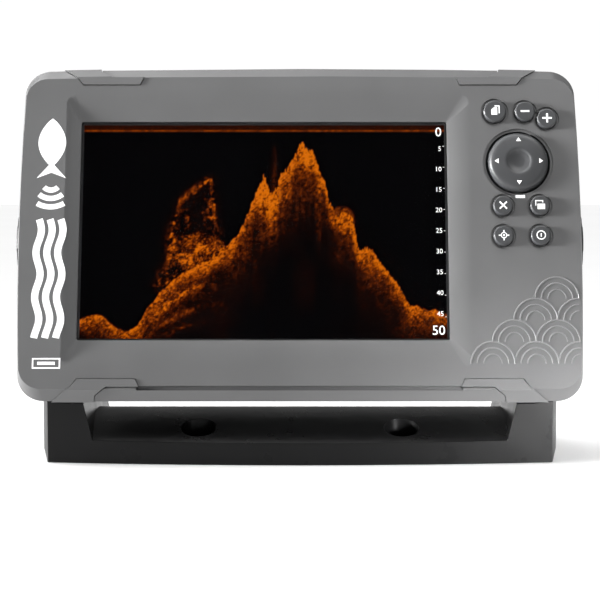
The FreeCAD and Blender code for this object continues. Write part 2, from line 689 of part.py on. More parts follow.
def display_stack():
    """Lens, gasket, panel and backlight behind the window."""
    save("display_lens", lean(window(LENS_MARGIN, LENS_FRONT, LENS_FRONT + LENS_THICKNESS)))
    front = LENS_FRONT + LENS_THICKNESS
    gasket = window(LENS_MARGIN, front, PANEL_FRONT)
    gasket = gasket.cut(window(LENS_MARGIN - GASKET_WIDTH, front - 1, PANEL_FRONT + 1))
    save("lens_gasket", lean(gasket))
    save("lcd_panel", lean(window(PANEL_MARGIN, PANEL_FRONT, BACKLIGHT_FRONT, WINDOW_CORNER)))
    save("lcd_backlight", lean(window(PANEL_MARGIN - BACKLIGHT_INSET, BACKLIGHT_FRONT, PLATE_FRONT,
                                      WINDOW_CORNER)))


def housing_form(inset, back):
    """Outer or inner form of the rear housing's box, drawn in by inset."""
    w = HOUSING_HALF_WIDTH - inset
    h = HOUSING_HALF_HEIGHT - inset
    r = HOUSING_CORNER - inset
    front = round_wire(-w, w, -h, h, r, FLANGE_FRONT)
    middle = round_wire(-w, w, -h, h, r, HOUSING_STRAIGHT)
    w -= HOUSING_TAPER_X
    h -= HOUSING_TAPER_Z
    return Part.makeLoft([front, middle, round_wire(-w, w, -h, h, r, back)], True, True)


def post_places():
    """The four housing posts that hold the chassis plate."""
    x = HOUSING_HALF_WIDTH - HOUSING_WALL - POST_RADIUS - POST_SIDE_GAP
    z = HOUSING_HALF_HEIGHT - HOUSING_WALL - POST_RADIUS - POST_END_GAP
    return [(sx * x, sz * z) for sx in (-1, 1) for sz in (-1, 1)]


def door_barrel_place():
    """Height and depth of the card door's hinge pin."""
    z = CARD_Z + CARD_HEIGHT / 2 + DOOR_MARGIN + DOOR_BARREL_RADIUS
    return z, REAR_FACE + DOOR_GAP + DOOR_BARREL_RADIUS


def rear_housing():
    """Rear shell: flange, tapered box, hubs, card tunnel, fins and hinge lugs."""
    outer = housing_form(0, HOUSING_DEPTH)
    flange = bezel_slab(RIM_WALL + FLANGE_GAP, FLANGE_FRONT, BEZEL_DEPTH)
    hubs = [cross_bar(side * (HOUSING_HALF_WIDTH - 1), side * HUB_FACE, HUB_RADIUS) for side in (-1, 1)]
    ribs = []
    for index in range(RIB_COUNT):
        x = (index - (RIB_COUNT - 1) / 2) * RIB_PITCH
        z = HOUSING_HALF_HEIGHT - HOUSING_TAPER_Z - RIB_DROP
        ribs.append(block(x - RIB_WIDTH / 2, x + RIB_WIDTH / 2, REAR_FACE - 1, REAR_FACE + RIB_HEIGHT,
                          z - RIB_LENGTH, z))
    body = outer.fuse([flange] + hubs + ribs)
    body = body.cut(housing_form(HOUSING_WALL, HOUSING_DEPTH - HOUSING_WALL))
    inner_hubs = [cross_bar(side * (HUB_FACE - INSERT_LENGTH - 2), side * (HOUSING_HALF_WIDTH - 1),
                            INSERT_RADIUS + HUB_INSIDE_WALL) for side in (-1, 1)]
    posts = [disc(x, z, POST_RADIUS, PLATE_BACK, HOUSING_DEPTH).common(outer) for x, z in post_places()]
    x0, x1 = CARD_X - CARD_WIDTH / 2, CARD_X + CARD_WIDTH / 2
    z0, z1 = CARD_Z - CARD_HEIGHT / 2, CARD_Z + CARD_HEIGHT / 2
    tunnel = block(x0 - CARD_WALL, x1 + CARD_WALL, REAR_FACE - CARD_TUNNEL, REAR_FACE - 1, z0 - CARD_WALL,
                   z1 + CARD_WALL)
    body = body.fuse(inner_hubs + posts + [tunnel])
    cuts = [block(x0, x1, REAR_FACE - CARD_TUNNEL - 1, REAR_FACE + 1, z0, z1)]
    for side in (-1, 1):
        cuts.append(cross_bar(side * (HUB_FACE - INSERT_LENGTH), side * (HUB_FACE + 1), INSERT_RADIUS))
        cuts.append(cross_bar(side * (HUB_FACE - INSERT_LENGTH - 3), side * HUB_FACE, STUD_RADIUS + 1))
    deep = PLATE_BACK + POST_SCREW_LENGTH + 2
    cuts += [disc(x, z, SCREW_RADIUS, PLATE_BACK - 1, deep) for x, z in post_places()]
    cuts += [disc(x, z, SCREW_RADIUS + SCREW_HOLE_GAP, FLANGE_FRONT - 1, BEZEL_DEPTH + 1)
             for x, z in screw_posts()]
    for x, z, radius in (SONAR_SOCKET, POWER_SOCKET):
        hole = radius + SOCKET_TAIL_WALL + SCREW_HOLE_GAP
        cuts.append(disc(x, z, hole, REAR_FACE - HOUSING_WALL - 1, REAR_FACE + 1))
    vx, vz, radius = VENT_PLUG
    cuts.append(disc(vx, vz, radius * 0.6, REAR_FACE - HOUSING_WALL - 1, REAR_FACE + 1))
    body = body.cut(cuts)
    return body.fuse(door_lugs()).removeSplitter()


def door_lugs():
    """Two small lugs that hold the card door's pin."""
    z, y = door_barrel_place()
    lugs = []
    for side in (-1, 1):
        inner = CARD_X + side * (CARD_WIDTH / 2 + DOOR_MARGIN + DOOR_GAP)
        outer = inner + side * DOOR_LUG_WIDTH
        x0, x1 = min(inner, outer), max(inner, outer)
        lug = block(x0, x1, REAR_FACE - 0.5, y, z - DOOR_BARREL_RADIUS, z + DOOR_BARREL_RADIUS)
        lug = lug.fuse(Part.makeCylinder(DOOR_BARREL_RADIUS, x1 - x0, V(x0, y, z), V(1, 0, 0)))
        lugs.append(lug.cut(Part.makeCylinder(DOOR_PIN_RADIUS, x1 - x0 + 2, V(x0 - 1, y, z), V(1, 0, 0))))
    return lugs


def card_door():
    """Rubber flap over the card slot, with a barrel round its pin and a thumb lip."""
    z, y = door_barrel_place()
    x0 = CARD_X - CARD_WIDTH / 2 - DOOR_MARGIN
    x1 = CARD_X + CARD_WIDTH / 2 + DOOR_MARGIN
    low = CARD_Z - CARD_HEIGHT / 2 - DOOR_MARGIN
    flap = round_block(x0, x1, low, z, DOOR_LIP, REAR_FACE + DOOR_GAP, REAR_FACE + DOOR_GAP + DOOR_THICKNESS)
    notch = CARD_WIDTH / 3
    front = REAR_FACE + DOOR_GAP
    lip = round_block(x0 + notch, x1 - notch, low - DOOR_LIP, low + DOOR_LIP, DOOR_LIP / 2,
                      front + DOOR_THICKNESS / 3, front + DOOR_THICKNESS)
    barrel = Part.makeCylinder(DOOR_BARREL_RADIUS, x1 - x0, V(x0, y, z), V(1, 0, 0))
    bore = Part.makeCylinder(DOOR_PIN_RADIUS + RUNNING_GAP, x1 - x0 + 2, V(x0 - 1, y, z), V(1, 0, 0))
    return joined([flap, lip, barrel]).cut(bore)


def card_door_pin():
    """Steel pin through the lugs and the door's barrel."""
    z, y = door_barrel_place()
    reach = CARD_WIDTH / 2 + DOOR_MARGIN + DOOR_GAP + DOOR_LUG_WIDTH
    return Part.makeCylinder(DOOR_PIN_RADIUS, 2 * reach, V(CARD_X - reach, y, z), V(1, 0, 0))


def card_reader():
    """Card holder behind the tunnel, with a slit for the card."""
    back = REAR_FACE - CARD_TUNNEL
    x0, x1 = CARD_X - CARD_WIDTH / 2 - CARD_WALL, CARD_X + CARD_WIDTH / 2 + CARD_WALL
    z0, z1 = CARD_Z - CARD_HEIGHT / 2 - CARD_WALL, CARD_Z + CARD_HEIGHT / 2 + CARD_WALL
    flange = block(x0, x1, back - READER_WALL, back, z0, z1)
    w, h = READER_WIDTH / 2, READER_HEIGHT / 2
    holder = block(CARD_X - w, CARD_X + w, back - READER_LENGTH, back - READER_WALL, CARD_Z - h, CARD_Z + h)
    w, h = w - READER_WALL, h - READER_WALL
    slit = block(CARD_X - w, CARD_X + w, back - READER_LENGTH + READER_WALL, back + 1, CARD_Z - h, CARD_Z + h)
    return joined([flange, holder]).cut(slit)


def socket(spot):
    """Round panel socket: threaded tail through the wall, flange and open collar."""
    x, z, bore = spot
    seat = REAR_FACE + O_RING_THICKNESS
    tail = disc(x, z, bore + SOCKET_TAIL_WALL, REAR_FACE - HOUSING_WALL - SOCKET_TAIL_LENGTH, seat)
    flange = disc(x, z, bore + SOCKET_WALL + SOCKET_FLANGE, seat, seat + SOCKET_FLANGE)
    collar = disc(x, z, bore + SOCKET_WALL, seat, seat + SOCKET_PROUD)
    return joined([tail, flange, collar]).cut(disc(x, z, bore, seat + 1, seat + SOCKET_PROUD + 1))


def socket_pins(spot, count):
    """Contact pins that stand in a socket's bore."""
    x, z, bore = spot
    floor = REAR_FACE + O_RING_THICKNESS + 1
    pins = []
    for index in range(count):
        angle = 2 * math.pi * index / count
        px = x + bore * 0.5 * math.cos(angle)
        pz = z + bore * 0.5 * math.sin(angle)
        pins.append(disc(px, pz, SOCKET_PIN_RADIUS, floor, floor + SOCKET_PIN_LENGTH))
    return group(pins)


def socket_fixings():
    """Nuts inside the wall and sealing rings outside it."""
    nuts = []
    seals = []
    inside = REAR_FACE - HOUSING_WALL
    for x, z, bore in (SONAR_SOCKET, POWER_SOCKET):
        nut = hexagon(x, z, 2 * (bore + SOCKET_NUT_WALL), inside - SOCKET_NUT_THICKNESS, inside)
        nuts.append(nut.cut(disc(x, z, bore + SOCKET_TAIL_WALL, REAR_FACE / 2, inside + 1)))
        seals.append(ring(x, z, bore + SOCKET_TAIL_WALL + SCREW_HOLE_GAP, bore + SOCKET_WALL + O_RING_WIDTH,
                          REAR_FACE, REAR_FACE + O_RING_THICKNESS))
    return group(nuts), group(seals)


def vent_plug():
    """Breather plug that lets the sealed case even out its pressure."""
    x, z, radius = VENT_PLUG
    head = disc(x, z, radius, REAR_FACE, REAR_FACE + 1.2)
    rim = head.Edges[0]
    for edge in head.Edges:
        if abs(edge.BoundBox.YMin - REAR_FACE - 1.2) < 0.01 and edge.Length > 1:
            rim = edge
    head = head.makeFillet(0.5, [rim])
    return joined([head, disc(x, z, radius * 0.6, REAR_FACE - HOUSING_WALL - 2, REAR_FACE)])


def housing_screws():
    """Pan head screws that hold the housing's flange to the bezel's posts."""
    screws = []
    for x, z in screw_posts():
        shank = disc(x, z, SCREW_RADIUS, FACE_WALL + 1, BEZEL_DEPTH)
        top = BEZEL_DEPTH + SCREW_HEAD_HEIGHT
        head = disc(x, z, SCREW_HEAD_RADIUS, BEZEL_DEPTH, top)
        thin, long = SCREW_RECESS_WIDTH / 2, SCREW_RECESS_LENGTH / 2
        slot = block(x - long, x + long, top - SCREW_RECESS_WIDTH, top + 1, z - thin, z + thin)
        cross = block(x - thin, x + thin, top - SCREW_RECESS_WIDTH, top + 1, z - long, z + long)
        screws.append(joined([shank, head]).cut([slot, cross]))
    return group(screws)


def housing_seal():
    """Flat sealing ring between the housing's flange and the bezel's step."""
    seal = bezel_slab(RIM_WALL + 0.3, LEDGE_DEPTH, FLANGE_FRONT)
    seal = seal.cut(bezel_slab(RIM_WALL + SEAL_LEDGE - 0.2, LEDGE_DEPTH - 1, FLANGE_FRONT + 1))
    return seal.cut([disc(x, z, SCREW_RADIUS + SCREW_HOLE_GAP, LEDGE_DEPTH - 1, FLANGE_FRONT + 1)
                     for x, z in screw_posts()])


def chassis():
    """Plate behind the display, its screws, and the standoffs for the main board."""
    inset = HOUSING_WALL + PLATE_CLEARANCE
    w = HOUSING_HALF_WIDTH - inset
    h = HOUSING_HALF_HEIGHT - inset
    plate = round_block(-w, w, -h, h, HOUSING_CORNER - inset, PLATE_FRONT, PLATE_BACK)
    cones = []
    screws = []
    for x, z in post_places():
        outline = [(0, PLATE_FRONT), (SCREW_HEAD_RADIUS, PLATE_FRONT), (SCREW_RADIUS, PLATE_BACK),
                   (SCREW_RADIUS, PLATE_BACK + POST_SCREW_LENGTH), (0, PLATE_BACK + POST_SCREW_LENGTH)]
        screws.append(turned(outline, x, z))
        cones.append(turned(outline, x, z))
    gap = RIBBON_SLOT_GAP
    x, z = screen_ribbon_place()
    holes = [block(x - SCREEN_RIBBON_WIDTH / 2 - gap, x + SCREEN_RIBBON_WIDTH / 2 + gap, PLATE_FRONT - 1,
                   PLATE_BACK + 1, z - gap, z + RIBBON_THICKNESS + gap)]
    x, z = key_ribbon_place()
    holes.append(block(x - gap, x + RIBBON_THICKNESS + gap, PLATE_FRONT - 1, PLATE_BACK + 1,
                       z - KEY_RIBBON_WIDTH / 2 - gap, z + KEY_RIBBON_WIDTH / 2 + gap))
    save("chassis_plate", lean(plate.cut(cones + holes)))
    save("chassis_screws", lean(group(screws)))
    w = BOARD_WIDTH / 2 - STANDOFF_INSET
    h = BOARD_HEIGHT / 2 - STANDOFF_INSET
    places = [(sx * w, sz * h) for sx in (-1, 1) for sz in (-1, 1)]
    save("board_standoffs", lean(group([hexagon(x, z, 2 * STANDOFF_RADIUS, PLATE_BACK, BOARD_FRONT)
                                        for x, z in places])))


def main_board_set():
    """Main circuit board with its shield can, components, aerial and beeper."""
    w, h = BOARD_WIDTH / 2, BOARD_HEIGHT / 2
    save("main_board", lean(round_block(-w, w, -h, h, BOARD_CORNER, BOARD_FRONT, BOARD_BACK)))
    x0, x1 = SHIELD_X - SHIELD_WIDTH / 2, SHIELD_X + SHIELD_WIDTH / 2
    z0, z1 = SHIELD_Z - SHIELD_LENGTH / 2, SHIELD_Z + SHIELD_LENGTH / 2
    wall = SHIELD_WALL
    can = block(x0, x1, BOARD_BACK, BOARD_BACK + SHIELD_HEIGHT, z0, z1)
    can = can.cut(block(x0 + wall, x1 - wall, BOARD_BACK - 1, BOARD_BACK + SHIELD_HEIGHT - wall,
                        z0 + wall, z1 - wall))
    save("processor_shield", lean(can))
    row = STANDOFF_INSET + CAPACITOR_RADIUS - h
    parts = []
    for index in range(4):
        x = -w + STANDOFF_INSET + CAPACITOR_PITCH * (index + 0.7)
        parts.append(disc(x, row, CAPACITOR_RADIUS, BOARD_BACK, BOARD_BACK + CAPACITOR_HEIGHT))
    for index in range(3):
        x = w - STANDOFF_INSET - INDUCTOR_PITCH * (index + 1)
        parts.append(block(x, x + INDUCTOR_WIDTH, BOARD_BACK, BOARD_BACK + INDUCTOR_HEIGHT,
                           row - INDUCTOR_WIDTH / 2, row + INDUCTOR_WIDTH / 2))
    chip = SHIELD_WIDTH / 2
    low = z0 - SHIELD_WALL - chip
    parts.append(block(x1, x1 + chip, BOARD_BACK, BOARD_BACK + SHIELD_HEIGHT, low, low + chip))
    parts.append(block(x0, x0 + chip, BOARD_BACK, BOARD_BACK + SHIELD_HEIGHT / 2, low + chip / 2, low + chip))
    save("board_components", lean(group(parts)))
    half = AERIAL_SIDE / 2
    save("gps_antenna", lean(round_block(AERIAL_X - half, AERIAL_X + half, AERIAL_Z - half, AERIAL_Z + half,
                                         WINDOW_CORNER, BOARD_BACK, BOARD_BACK + AERIAL_HEIGHT)))
    save("beeper", lean(ring(BEEPER_X, BEEPER_Z, BEEPER_HOLE_RADIUS, BEEPER_RADIUS, BOARD_BACK,
                             BOARD_BACK + BEEPER_HEIGHT)))


def screen_ribbon_place():
    """Middle of the screen's ribbon across, and the height at which it lies on the panel's edge."""
    return SCREEN_RIBBON_X, SCREEN_Z + SCREEN_HEIGHT / 2 + PANEL_MARGIN


def key_ribbon_place():
    """Where the key board's ribbon leaves it across, and its middle height."""
    return keypad_limits()[0] + KEY_RIBBON_INSET, CURSOR_PAD[1]


def ribbons():
    """Flat leads from the screen's edge and the key board, through the plate, to the main board."""
    thick = RIBBON_THICKNESS
    x, z = screen_ribbon_place()
    x0, x1 = x - SCREEN_RIBBON_WIDTH / 2, x + SCREEN_RIBBON_WIDTH / 2
    along = block(x0, x1, PANEL_FRONT, BOARD_FRONT, z, z + thick)
    down = block(x0, x1, BOARD_FRONT - thick, BOARD_FRONT, BOARD_HEIGHT / 2 - RIBBON_LAP, z + thick)
    save("lcd_ribbon", lean(joined([along, down])))
    x, z = key_ribbon_place()
    z0, z1 = z - KEY_RIBBON_WIDTH / 2, z + KEY_RIBBON_WIDTH / 2
    along = block(x, x + thick, KEY_BOARD_FRONT + KEY_BOARD_THICKNESS, BOARD_FRONT, z0, z1)
    inward = block(BOARD_WIDTH / 2 - RIBBON_LAP, x + thick, BOARD_FRONT - thick, BOARD_FRONT, z0, z1)
    save("keypad_ribbon", lean(joined([along, inward])))


def tilt_fittings():
    """Inserts, washers, studs and knobs on the tilt axis."""
    arm_outer = BRACKET_HALF_WIDTH
    for side, name in ((-1, "left"), (1, "right")):
        insert = cross_bar(side * (HUB_FACE - INSERT_LENGTH), side * HUB_FACE, INSERT_RADIUS)
        insert = insert.cut(cross_bar(side * (HUB_FACE - INSERT_LENGTH - 1), side * (HUB_FACE + 1),
                                      STUD_RADIUS + RUNNING_GAP))
        save("threaded_insert_" + name, lean(insert))
        washer = cross_bar(side * HUB_FACE, side * (HUB_FACE + WASHER_THICKNESS), HUB_RADIUS - 1)
        washer = washer.cut(cross_bar(side * (HUB_FACE - 1), side * (HUB_FACE + WASHER_THICKNESS + 1),
                                      STUD_RADIUS + RUNNING_GAP))
        save("friction_washer_" + name, lean(washer))
        start = arm_outer + KNOB_GAP
        stud_end = start + KNOB_LENGTH - KNOB_CAP
        stud = cross_bar(side * (HUB_FACE - INSERT_LENGTH + 2), side * stud_end, STUD_RADIUS)
        save("knob_stud_" + name, lean(stud))
        knob = cross_bar(side * start, side * (start + KNOB_LENGTH), KNOB_RADIUS)
        rims = [e for e in knob.Edges if abs(e.BoundBox.XLength) < 0.01 and e.Length > 1]
        knob = knob.makeChamfer(KNOB_CHAMFER, rims)
        scallops = []
        for index in range(KNOB_LOBES):
            angle = 2 * math.pi * index / KNOB_LOBES
            reach = KNOB_RADIUS + KNOB_SCALLOP_REACH
            scallop = cross_bar(side * (start + KNOB_RIM), side * (start + KNOB_LENGTH + 1),
                                KNOB_SCALLOP_RADIUS)
            scallop.translate(V(0, reach * math.cos(angle), reach * math.sin(angle)))
            scallops.append(scallop)
        core = cross_bar(side * (start - 1), side * stud_end, STUD_RADIUS)
        save("tilt_knob_" + name, lean(knob.cut(scallops + [core])))


def plan_wire(inset):
    """Bracket outline seen from above, drawn in by inset."""
    front = BRACKET_HALF_WIDTH - BRACKET_FRONT_INSET - inset
    side = BRACKET_HALF_WIDTH - inset
    middle = BRACKET_HALF_DEPTH - inset
    end = BRACKET_HALF_DEPTH - BRACKET_BOW - inset
    flare = end - BRACKET_FLARE
    corners = [V(front, -end, 0), V(side, -flare, 0), V(side, flare, 0), V(front, end, 0)]
    mirrored = [V(-p.x, p.y, 0) for p in reversed(corners)]
    right = [Part.LineSegment(a, b).toShape() for a, b in zip(corners, corners[1:])]
    left = [Part.LineSegment(a, b).toShape() for a, b in zip(mirrored, mirrored[1:])]
    back = Part.Arc(corners[-1], V(0, middle, 0), mirrored[0]).toShape()
    nose = Part.Arc(mirrored[-1], V(0, -middle, 0), corners[0]).toShape()
    return Part.Wire(right + [back] + left + [nose])


def plan_block(inset, z0, z1):
    """Upright block over the bracket's outline."""
    block_shape = Part.Face(plan_wire(inset)).extrude(V(0, 0, z1 - z0))
    block_shape.translate(V(0, 0, z0))
    return block_shape


def dome(drop):
    """Block under the domed top of the bracket's base, its top lowered by drop."""
    rise = CREST_HEIGHT - LIP_HEIGHT
    steps = [(1.0, 0.0), (0.8, 0.14), (0.56, 0.5), (0.28, 0.87)]
    half = [V(-BRACKET_HALF_WIDTH, -BRACKET_HALF_DEPTH * s, LIP_HEIGHT + rise * t - drop) for s, t in steps]
    crest = [V(-BRACKET_HALF_WIDTH, 0, CREST_HEIGHT - drop)]
    points = half + crest + [V(p.x, -p.y, p.z) for p in reversed(half)]
    curve = Part.BSplineCurve()
    curve.interpolate(points)
    down = V(0, 0, -points[0].z - 2)
    loop = [points[0], points[0] + down, points[-1] + down, points[-1]]
    sides = [Part.LineSegment(a, b).toShape() for a, b in zip(loop, loop[1:])]
    face = Part.Face(Part.Wire([curve.toShape()] + sides))
    return face.extrude(V(2 * BRACKET_HALF_WIDTH, 0, 0))


def tangent_point(point, centre, radius, turn):
    """Where a line from a point (y, z) touches a circle about centre."""
    dy, dz = point[0] - centre[0], point[1] - centre[1]
    distance = math.hypot(dy, dz)
    angle = math.atan2(dz, dy) + turn * math.acos(radius / distance)
    return centre[0] + radius * math.cos(angle), centre[1] + radius * math.sin(angle)


def side_prism(points, x0, x1):
    """Prism along X over an outline of (y, z) points."""
    loop = [V(x0, y, z) for y, z in points]
    return Part.Face(Part.makePolygon(loop + loop[:1])).extrude(V(x1 - x0, 0, 0))


def bracket_arm(side):
    """One arm: wide at the foot, leaning back behind the bezel to the tilt boss."""
    top = PIVOT_HEIGHT + ARM_BOSS_RADIUS + 1
    outer = BRACKET_HALF_WIDTH + 1
    neck = BRACKET_HALF_WIDTH - ARM_THICKNESS
    foot = neck - ARM_FOOT_INSET
    across = prism([(foot, -1), (foot, LIP_HEIGHT), (neck, ARM_TAPER_TOP), (neck, top), (outer, top),
                    (outer, -1)], -BRACKET_HALF_DEPTH, BRACKET_HALF_DEPTH)
    end = BRACKET_HALF_DEPTH - BRACKET_BOW
    axis = (0, PIVOT_HEIGHT)
    shoulder = (-end + ARM_SHOULDER_STEP, ARM_SHOULDER + ARM_SHOULDER_RISE)
    heel = (end + 1, ARM_REAR_FOOT)
    front_touch = tangent_point(shoulder, axis, ARM_BOSS_RADIUS, -1)
    back_touch = tangent_point(heel, axis, ARM_BOSS_RADIUS, 1)
    reach = BRACKET_HALF_DEPTH + 1
    along = side_prism([(-reach, -1), (-reach, ARM_SHOULDER), (-end - 1, ARM_SHOULDER), shoulder,
                        front_touch, back_touch, heel, (reach, ARM_REAR_FOOT), (reach, -1)], 0, outer)
    boss = Part.makeCylinder(ARM_BOSS_RADIUS, ARM_THICKNESS, V(neck, 0, PIVOT_HEIGHT), V(1, 0, 0))
    arm = along.common(across).common(plan_block(0, 0, top)).fuse(boss).removeSplitter()
    roof = ARM_TAPER_TOP - ARM_HOLLOW_DROP
    side_in = BRACKET_HALF_WIDTH - BRACKET_WALL
    hollow = prism([(foot + BRACKET_WALL, -1), (foot + BRACKET_WALL, LIP_HEIGHT),
                    (neck - BRACKET_WALL / 2, roof), (side_in, roof), (side_in, -1)],
                   -BRACKET_HALF_DEPTH, BRACKET_HALF_DEPTH)
    low, high = end - BRACKET_WALL, end - 3 * BRACKET_WALL
    hollow = hollow.common(side_prism([(-low, -1), (-high, roof + 1), (high, roof + 1), (low, -1)], 0, outer))
    hollow = hollow.common(plan_block(BRACKET_WALL, -1, top))
    if side > 0:
        return arm, hollow
    return (arm.mirror(V(0, 0, 0), V(1, 0, 0)), hollow.mirror(V(0, 0, 0), V(1, 0, 0)))


def bracket():
    """Mounting bracket: bowed, domed base with two arms, hollow underneath."""
    base = dome(0).common(plan_block(0, 0, CREST_HEIGHT + 1))
    cavity = dome(BRACKET_WALL).common(plan_block(BRACKET_WALL, -1, CREST_HEIGHT))
    foot = BRACKET_HALF_WIDTH - ARM_THICKNESS - ARM_FOOT_INSET
    cavity = cavity.common(block(-foot, foot, -BRACKET_HALF_DEPTH, BRACKET_HALF_DEPTH, -2, CREST_HEIGHT))
    right_arm, right_hollow = bracket_arm(1)
    left_arm, left_hollow = bracket_arm(-1)
    body = base.fuse([right_arm, left_arm]).cut([cavity, right_hollow, left_hollow])
    inside = dome(1.0).common(plan_block(1.0, 0, CREST_HEIGHT))
    spots = [(sx * SCREW_SPACING_X / 2, sy * SCREW_SPACING_Y / 2) for sx in (-1, 1) for sy in (-1, 1)]
    boss = SCREW_SEAT_RADIUS + SCREW_BOSS_WALL
    bosses = [Part.makeCylinder(boss, CREST_HEIGHT, V(x, y, 0)) for x, y in spots]
    half = RIB_THICKNESS / 2
    ribs = [block(-half, half, -BRACKET_HALF_DEPTH, BRACKET_HALF_DEPTH, 0, CREST_HEIGHT),
            block(-foot, foot, -half, half, 0, CREST_HEIGHT)]
    body = body.fuse([piece.common(inside) for piece in bosses + ribs])
    cuts = [Part.makeCylinder(SCREW_HOLE_RADIUS, CREST_HEIGHT + 2, V(x, y, -1)) for x, y in spots]
    cuts += [Part.makeCylinder(SCREW_SEAT_RADIUS, CREST_HEIGHT, V(x, y, SCREW_SEAT_HEIGHT)) for x, y in spots]
    for side in (-1, 1):
        hole = Part.makeCylinder(STUD_RADIUS + RUNNING_GAP, ARM_THICKNESS + 4,
                                 V(BRACKET_HALF_WIDTH - ARM_THICKNESS - 2, 0, PIVOT_HEIGHT), V(1, 0, 0))
        cuts.append(hole if side > 0 else hole.mirror(V(0, 0, 0), V(1, 0, 0)))
        edge = BRACKET_HALF_WIDTH
        relief = prism([(side * (edge - SIDE_RELIEF), -1), (side * (edge - SIDE_RELIEF), 0),
                        (side * edge, SIDE_RELIEF_HEIGHT), (side * (edge + 2), SIDE_RELIEF_HEIGHT),
                        (side * (edge + 2), -1)], -BRACKET_HALF_DEPTH, BRACKET_HALF_DEPTH)
        cuts.append(relief)
    return body.cut(cuts).removeSplitter()


def build():
    """Write every sub-part."""
    os.makedirs("parts", exist_ok=True)
    save("mounting_bracket", bracket())
    save("front_bezel", lean(front_bezel()))
    for side, left_right in ((-1, "left"), (1, "right")):
        for up, level in ((True, "top"), (False, "bottom")):
            save("corner_clip_%s_%s" % (level, left_right), lean(corner_clip(side, up)))
    display_stack()
    save("keypad_mat", lean(keypad_mat()))
    save("keypad_board", lean(keypad_board()))
    save("keypad_screws", lean(keypad_screws()))
    save("dome_switches", lean(dome_switches()))
    save("status_light", lean(status_light()))
    for name, (x, z, radius) in SMALL_KEYS.items():
        save(name, lean(small_key(x, z, radius)))
    save("cursor_pad", lean(cursor_pad()))
    save("pad_pivot", lean(pad_pivot()))
    save("rear_housing", lean(rear_housing()))
    save("housing_seal", lean(housing_seal()))
    save("housing_screws", lean(housing_screws()))
    chassis()
    main_board_set()
    ribbons()
    save("card_reader", lean(card_reader()))
    save("card_door", lean(card_door()))
    save("card_door_pin", lean(card_door_pin()))
    save("sonar_socket", lean(socket(SONAR_SOCKET)))
    save("power_socket", lean(socket(POWER_SOCKET)))
    save("sonar_pins", lean(socket_pins(SONAR_SOCKET, 7)))
    save("power_pins", lean(socket_pins(POWER_SOCKET, 4)))
    nuts, seals = socket_fixings()
    save("socket_nuts", lean(nuts))
    save("socket_seals", lean(seals))
    save("vent_plug", lean(vent_plug()))
    tilt_fittings()


build()
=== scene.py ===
"""Studio model of a seven inch fish finder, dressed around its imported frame.

Laid out as an add-on: property groups hold the sizes and colours, one operator makes each piece
or group of like pieces, and a sidebar panel lists them. Lengths in the property groups are in
millimetres. The display's own frame is x across, y depth behind its front face and z up.
"""

import json
import math

import bmesh
import bpy
import numpy as np
from mathutils import Matrix, Vector


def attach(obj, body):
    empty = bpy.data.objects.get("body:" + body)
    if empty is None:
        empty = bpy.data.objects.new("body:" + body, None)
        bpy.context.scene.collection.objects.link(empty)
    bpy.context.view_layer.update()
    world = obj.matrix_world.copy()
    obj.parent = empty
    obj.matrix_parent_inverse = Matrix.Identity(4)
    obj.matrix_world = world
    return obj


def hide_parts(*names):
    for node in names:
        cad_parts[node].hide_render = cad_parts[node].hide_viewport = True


bl_info = {
    "name": "Fish Finder Studio",
    "version": (1, 0, 0),
    "blender": (4, 5, 0),
    "location": "View3D > Sidebar > Fish Finder",
    "description": "Dresses a fish finder and its tilting bracket, and lights them for a studio view",
    "category": "Object",
}

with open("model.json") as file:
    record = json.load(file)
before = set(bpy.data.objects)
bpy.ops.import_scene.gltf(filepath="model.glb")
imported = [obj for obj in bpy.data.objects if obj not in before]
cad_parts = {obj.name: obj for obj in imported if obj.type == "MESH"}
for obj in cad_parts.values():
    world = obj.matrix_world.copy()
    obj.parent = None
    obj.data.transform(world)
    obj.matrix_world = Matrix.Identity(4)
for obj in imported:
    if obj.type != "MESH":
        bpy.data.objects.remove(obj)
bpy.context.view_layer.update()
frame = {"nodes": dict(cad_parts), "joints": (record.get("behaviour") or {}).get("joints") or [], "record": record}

MM = 0.001
WELD = 2e-6
BEVEL_ANGLE = 28.0
MOULDED_ANGLE = 38.0
JOINTS = {joint["name"]: joint for joint in frame["joints"]}
BODY_OF = {node: body for body, nodes in frame["record"]["behaviour"]["bodies"].items() for node in nodes}

ACROSS = Vector((1, 0, 0))
INWARD = Vector(JOINTS["page_key_press"]["axis"]).normalized()
UPWARD = ACROSS.cross(INWARD)
PIVOT = Vector(JOINTS["display_tilt"]["pos_m"])


def node_points(node):
    """Vertices of a CAD node as an array, in metres."""
    mesh = frame["nodes"][node].data
    points = np.empty(len(mesh.vertices) * 3)
    mesh.vertices.foreach_get("co", points)
    return points.reshape(-1, 3)


def depth_span(node):
    """Nearest and farthest depth of a CAD node along the display's inward axis, from the pivot."""
    depths = (node_points(node) - np.array(PIVOT)) @ np.array(INWARD)
    return depths.min(), depths.max()


FACE = PIVOT + INWARD * depth_span("front_bezel")[0]
UNIT = Matrix.Translation(FACE) @ Matrix((ACROSS, INWARD, UPWARD)).transposed().to_4x4() @ Matrix.Scale(MM, 4)


def unit_box(node):
    """Lowest and highest corner of a CAD node in the display's own frame, in millimetres."""
    points = np.c_[node_points(node), np.ones(len(node_points(node)))] @ np.array(UNIT.inverted()).T
    return Vector(points[:, :3].min(0)), Vector(points[:, :3].max(0))


# Shapes

def link(name, mesh):
    """A new object for a mesh, in the scene."""
    piece = bpy.data.objects.new(name, mesh)
    bpy.context.scene.collection.objects.link(piece)
    return piece


def finish(piece, body, material, replaced=()):
    """Give a finished piece its material and its body, and hide the CAD nodes it stands for."""
    piece.data.materials.clear()
    piece.data.materials.append(material)
    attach(piece, body)
    if replaced:
        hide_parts(*replaced)
    return piece


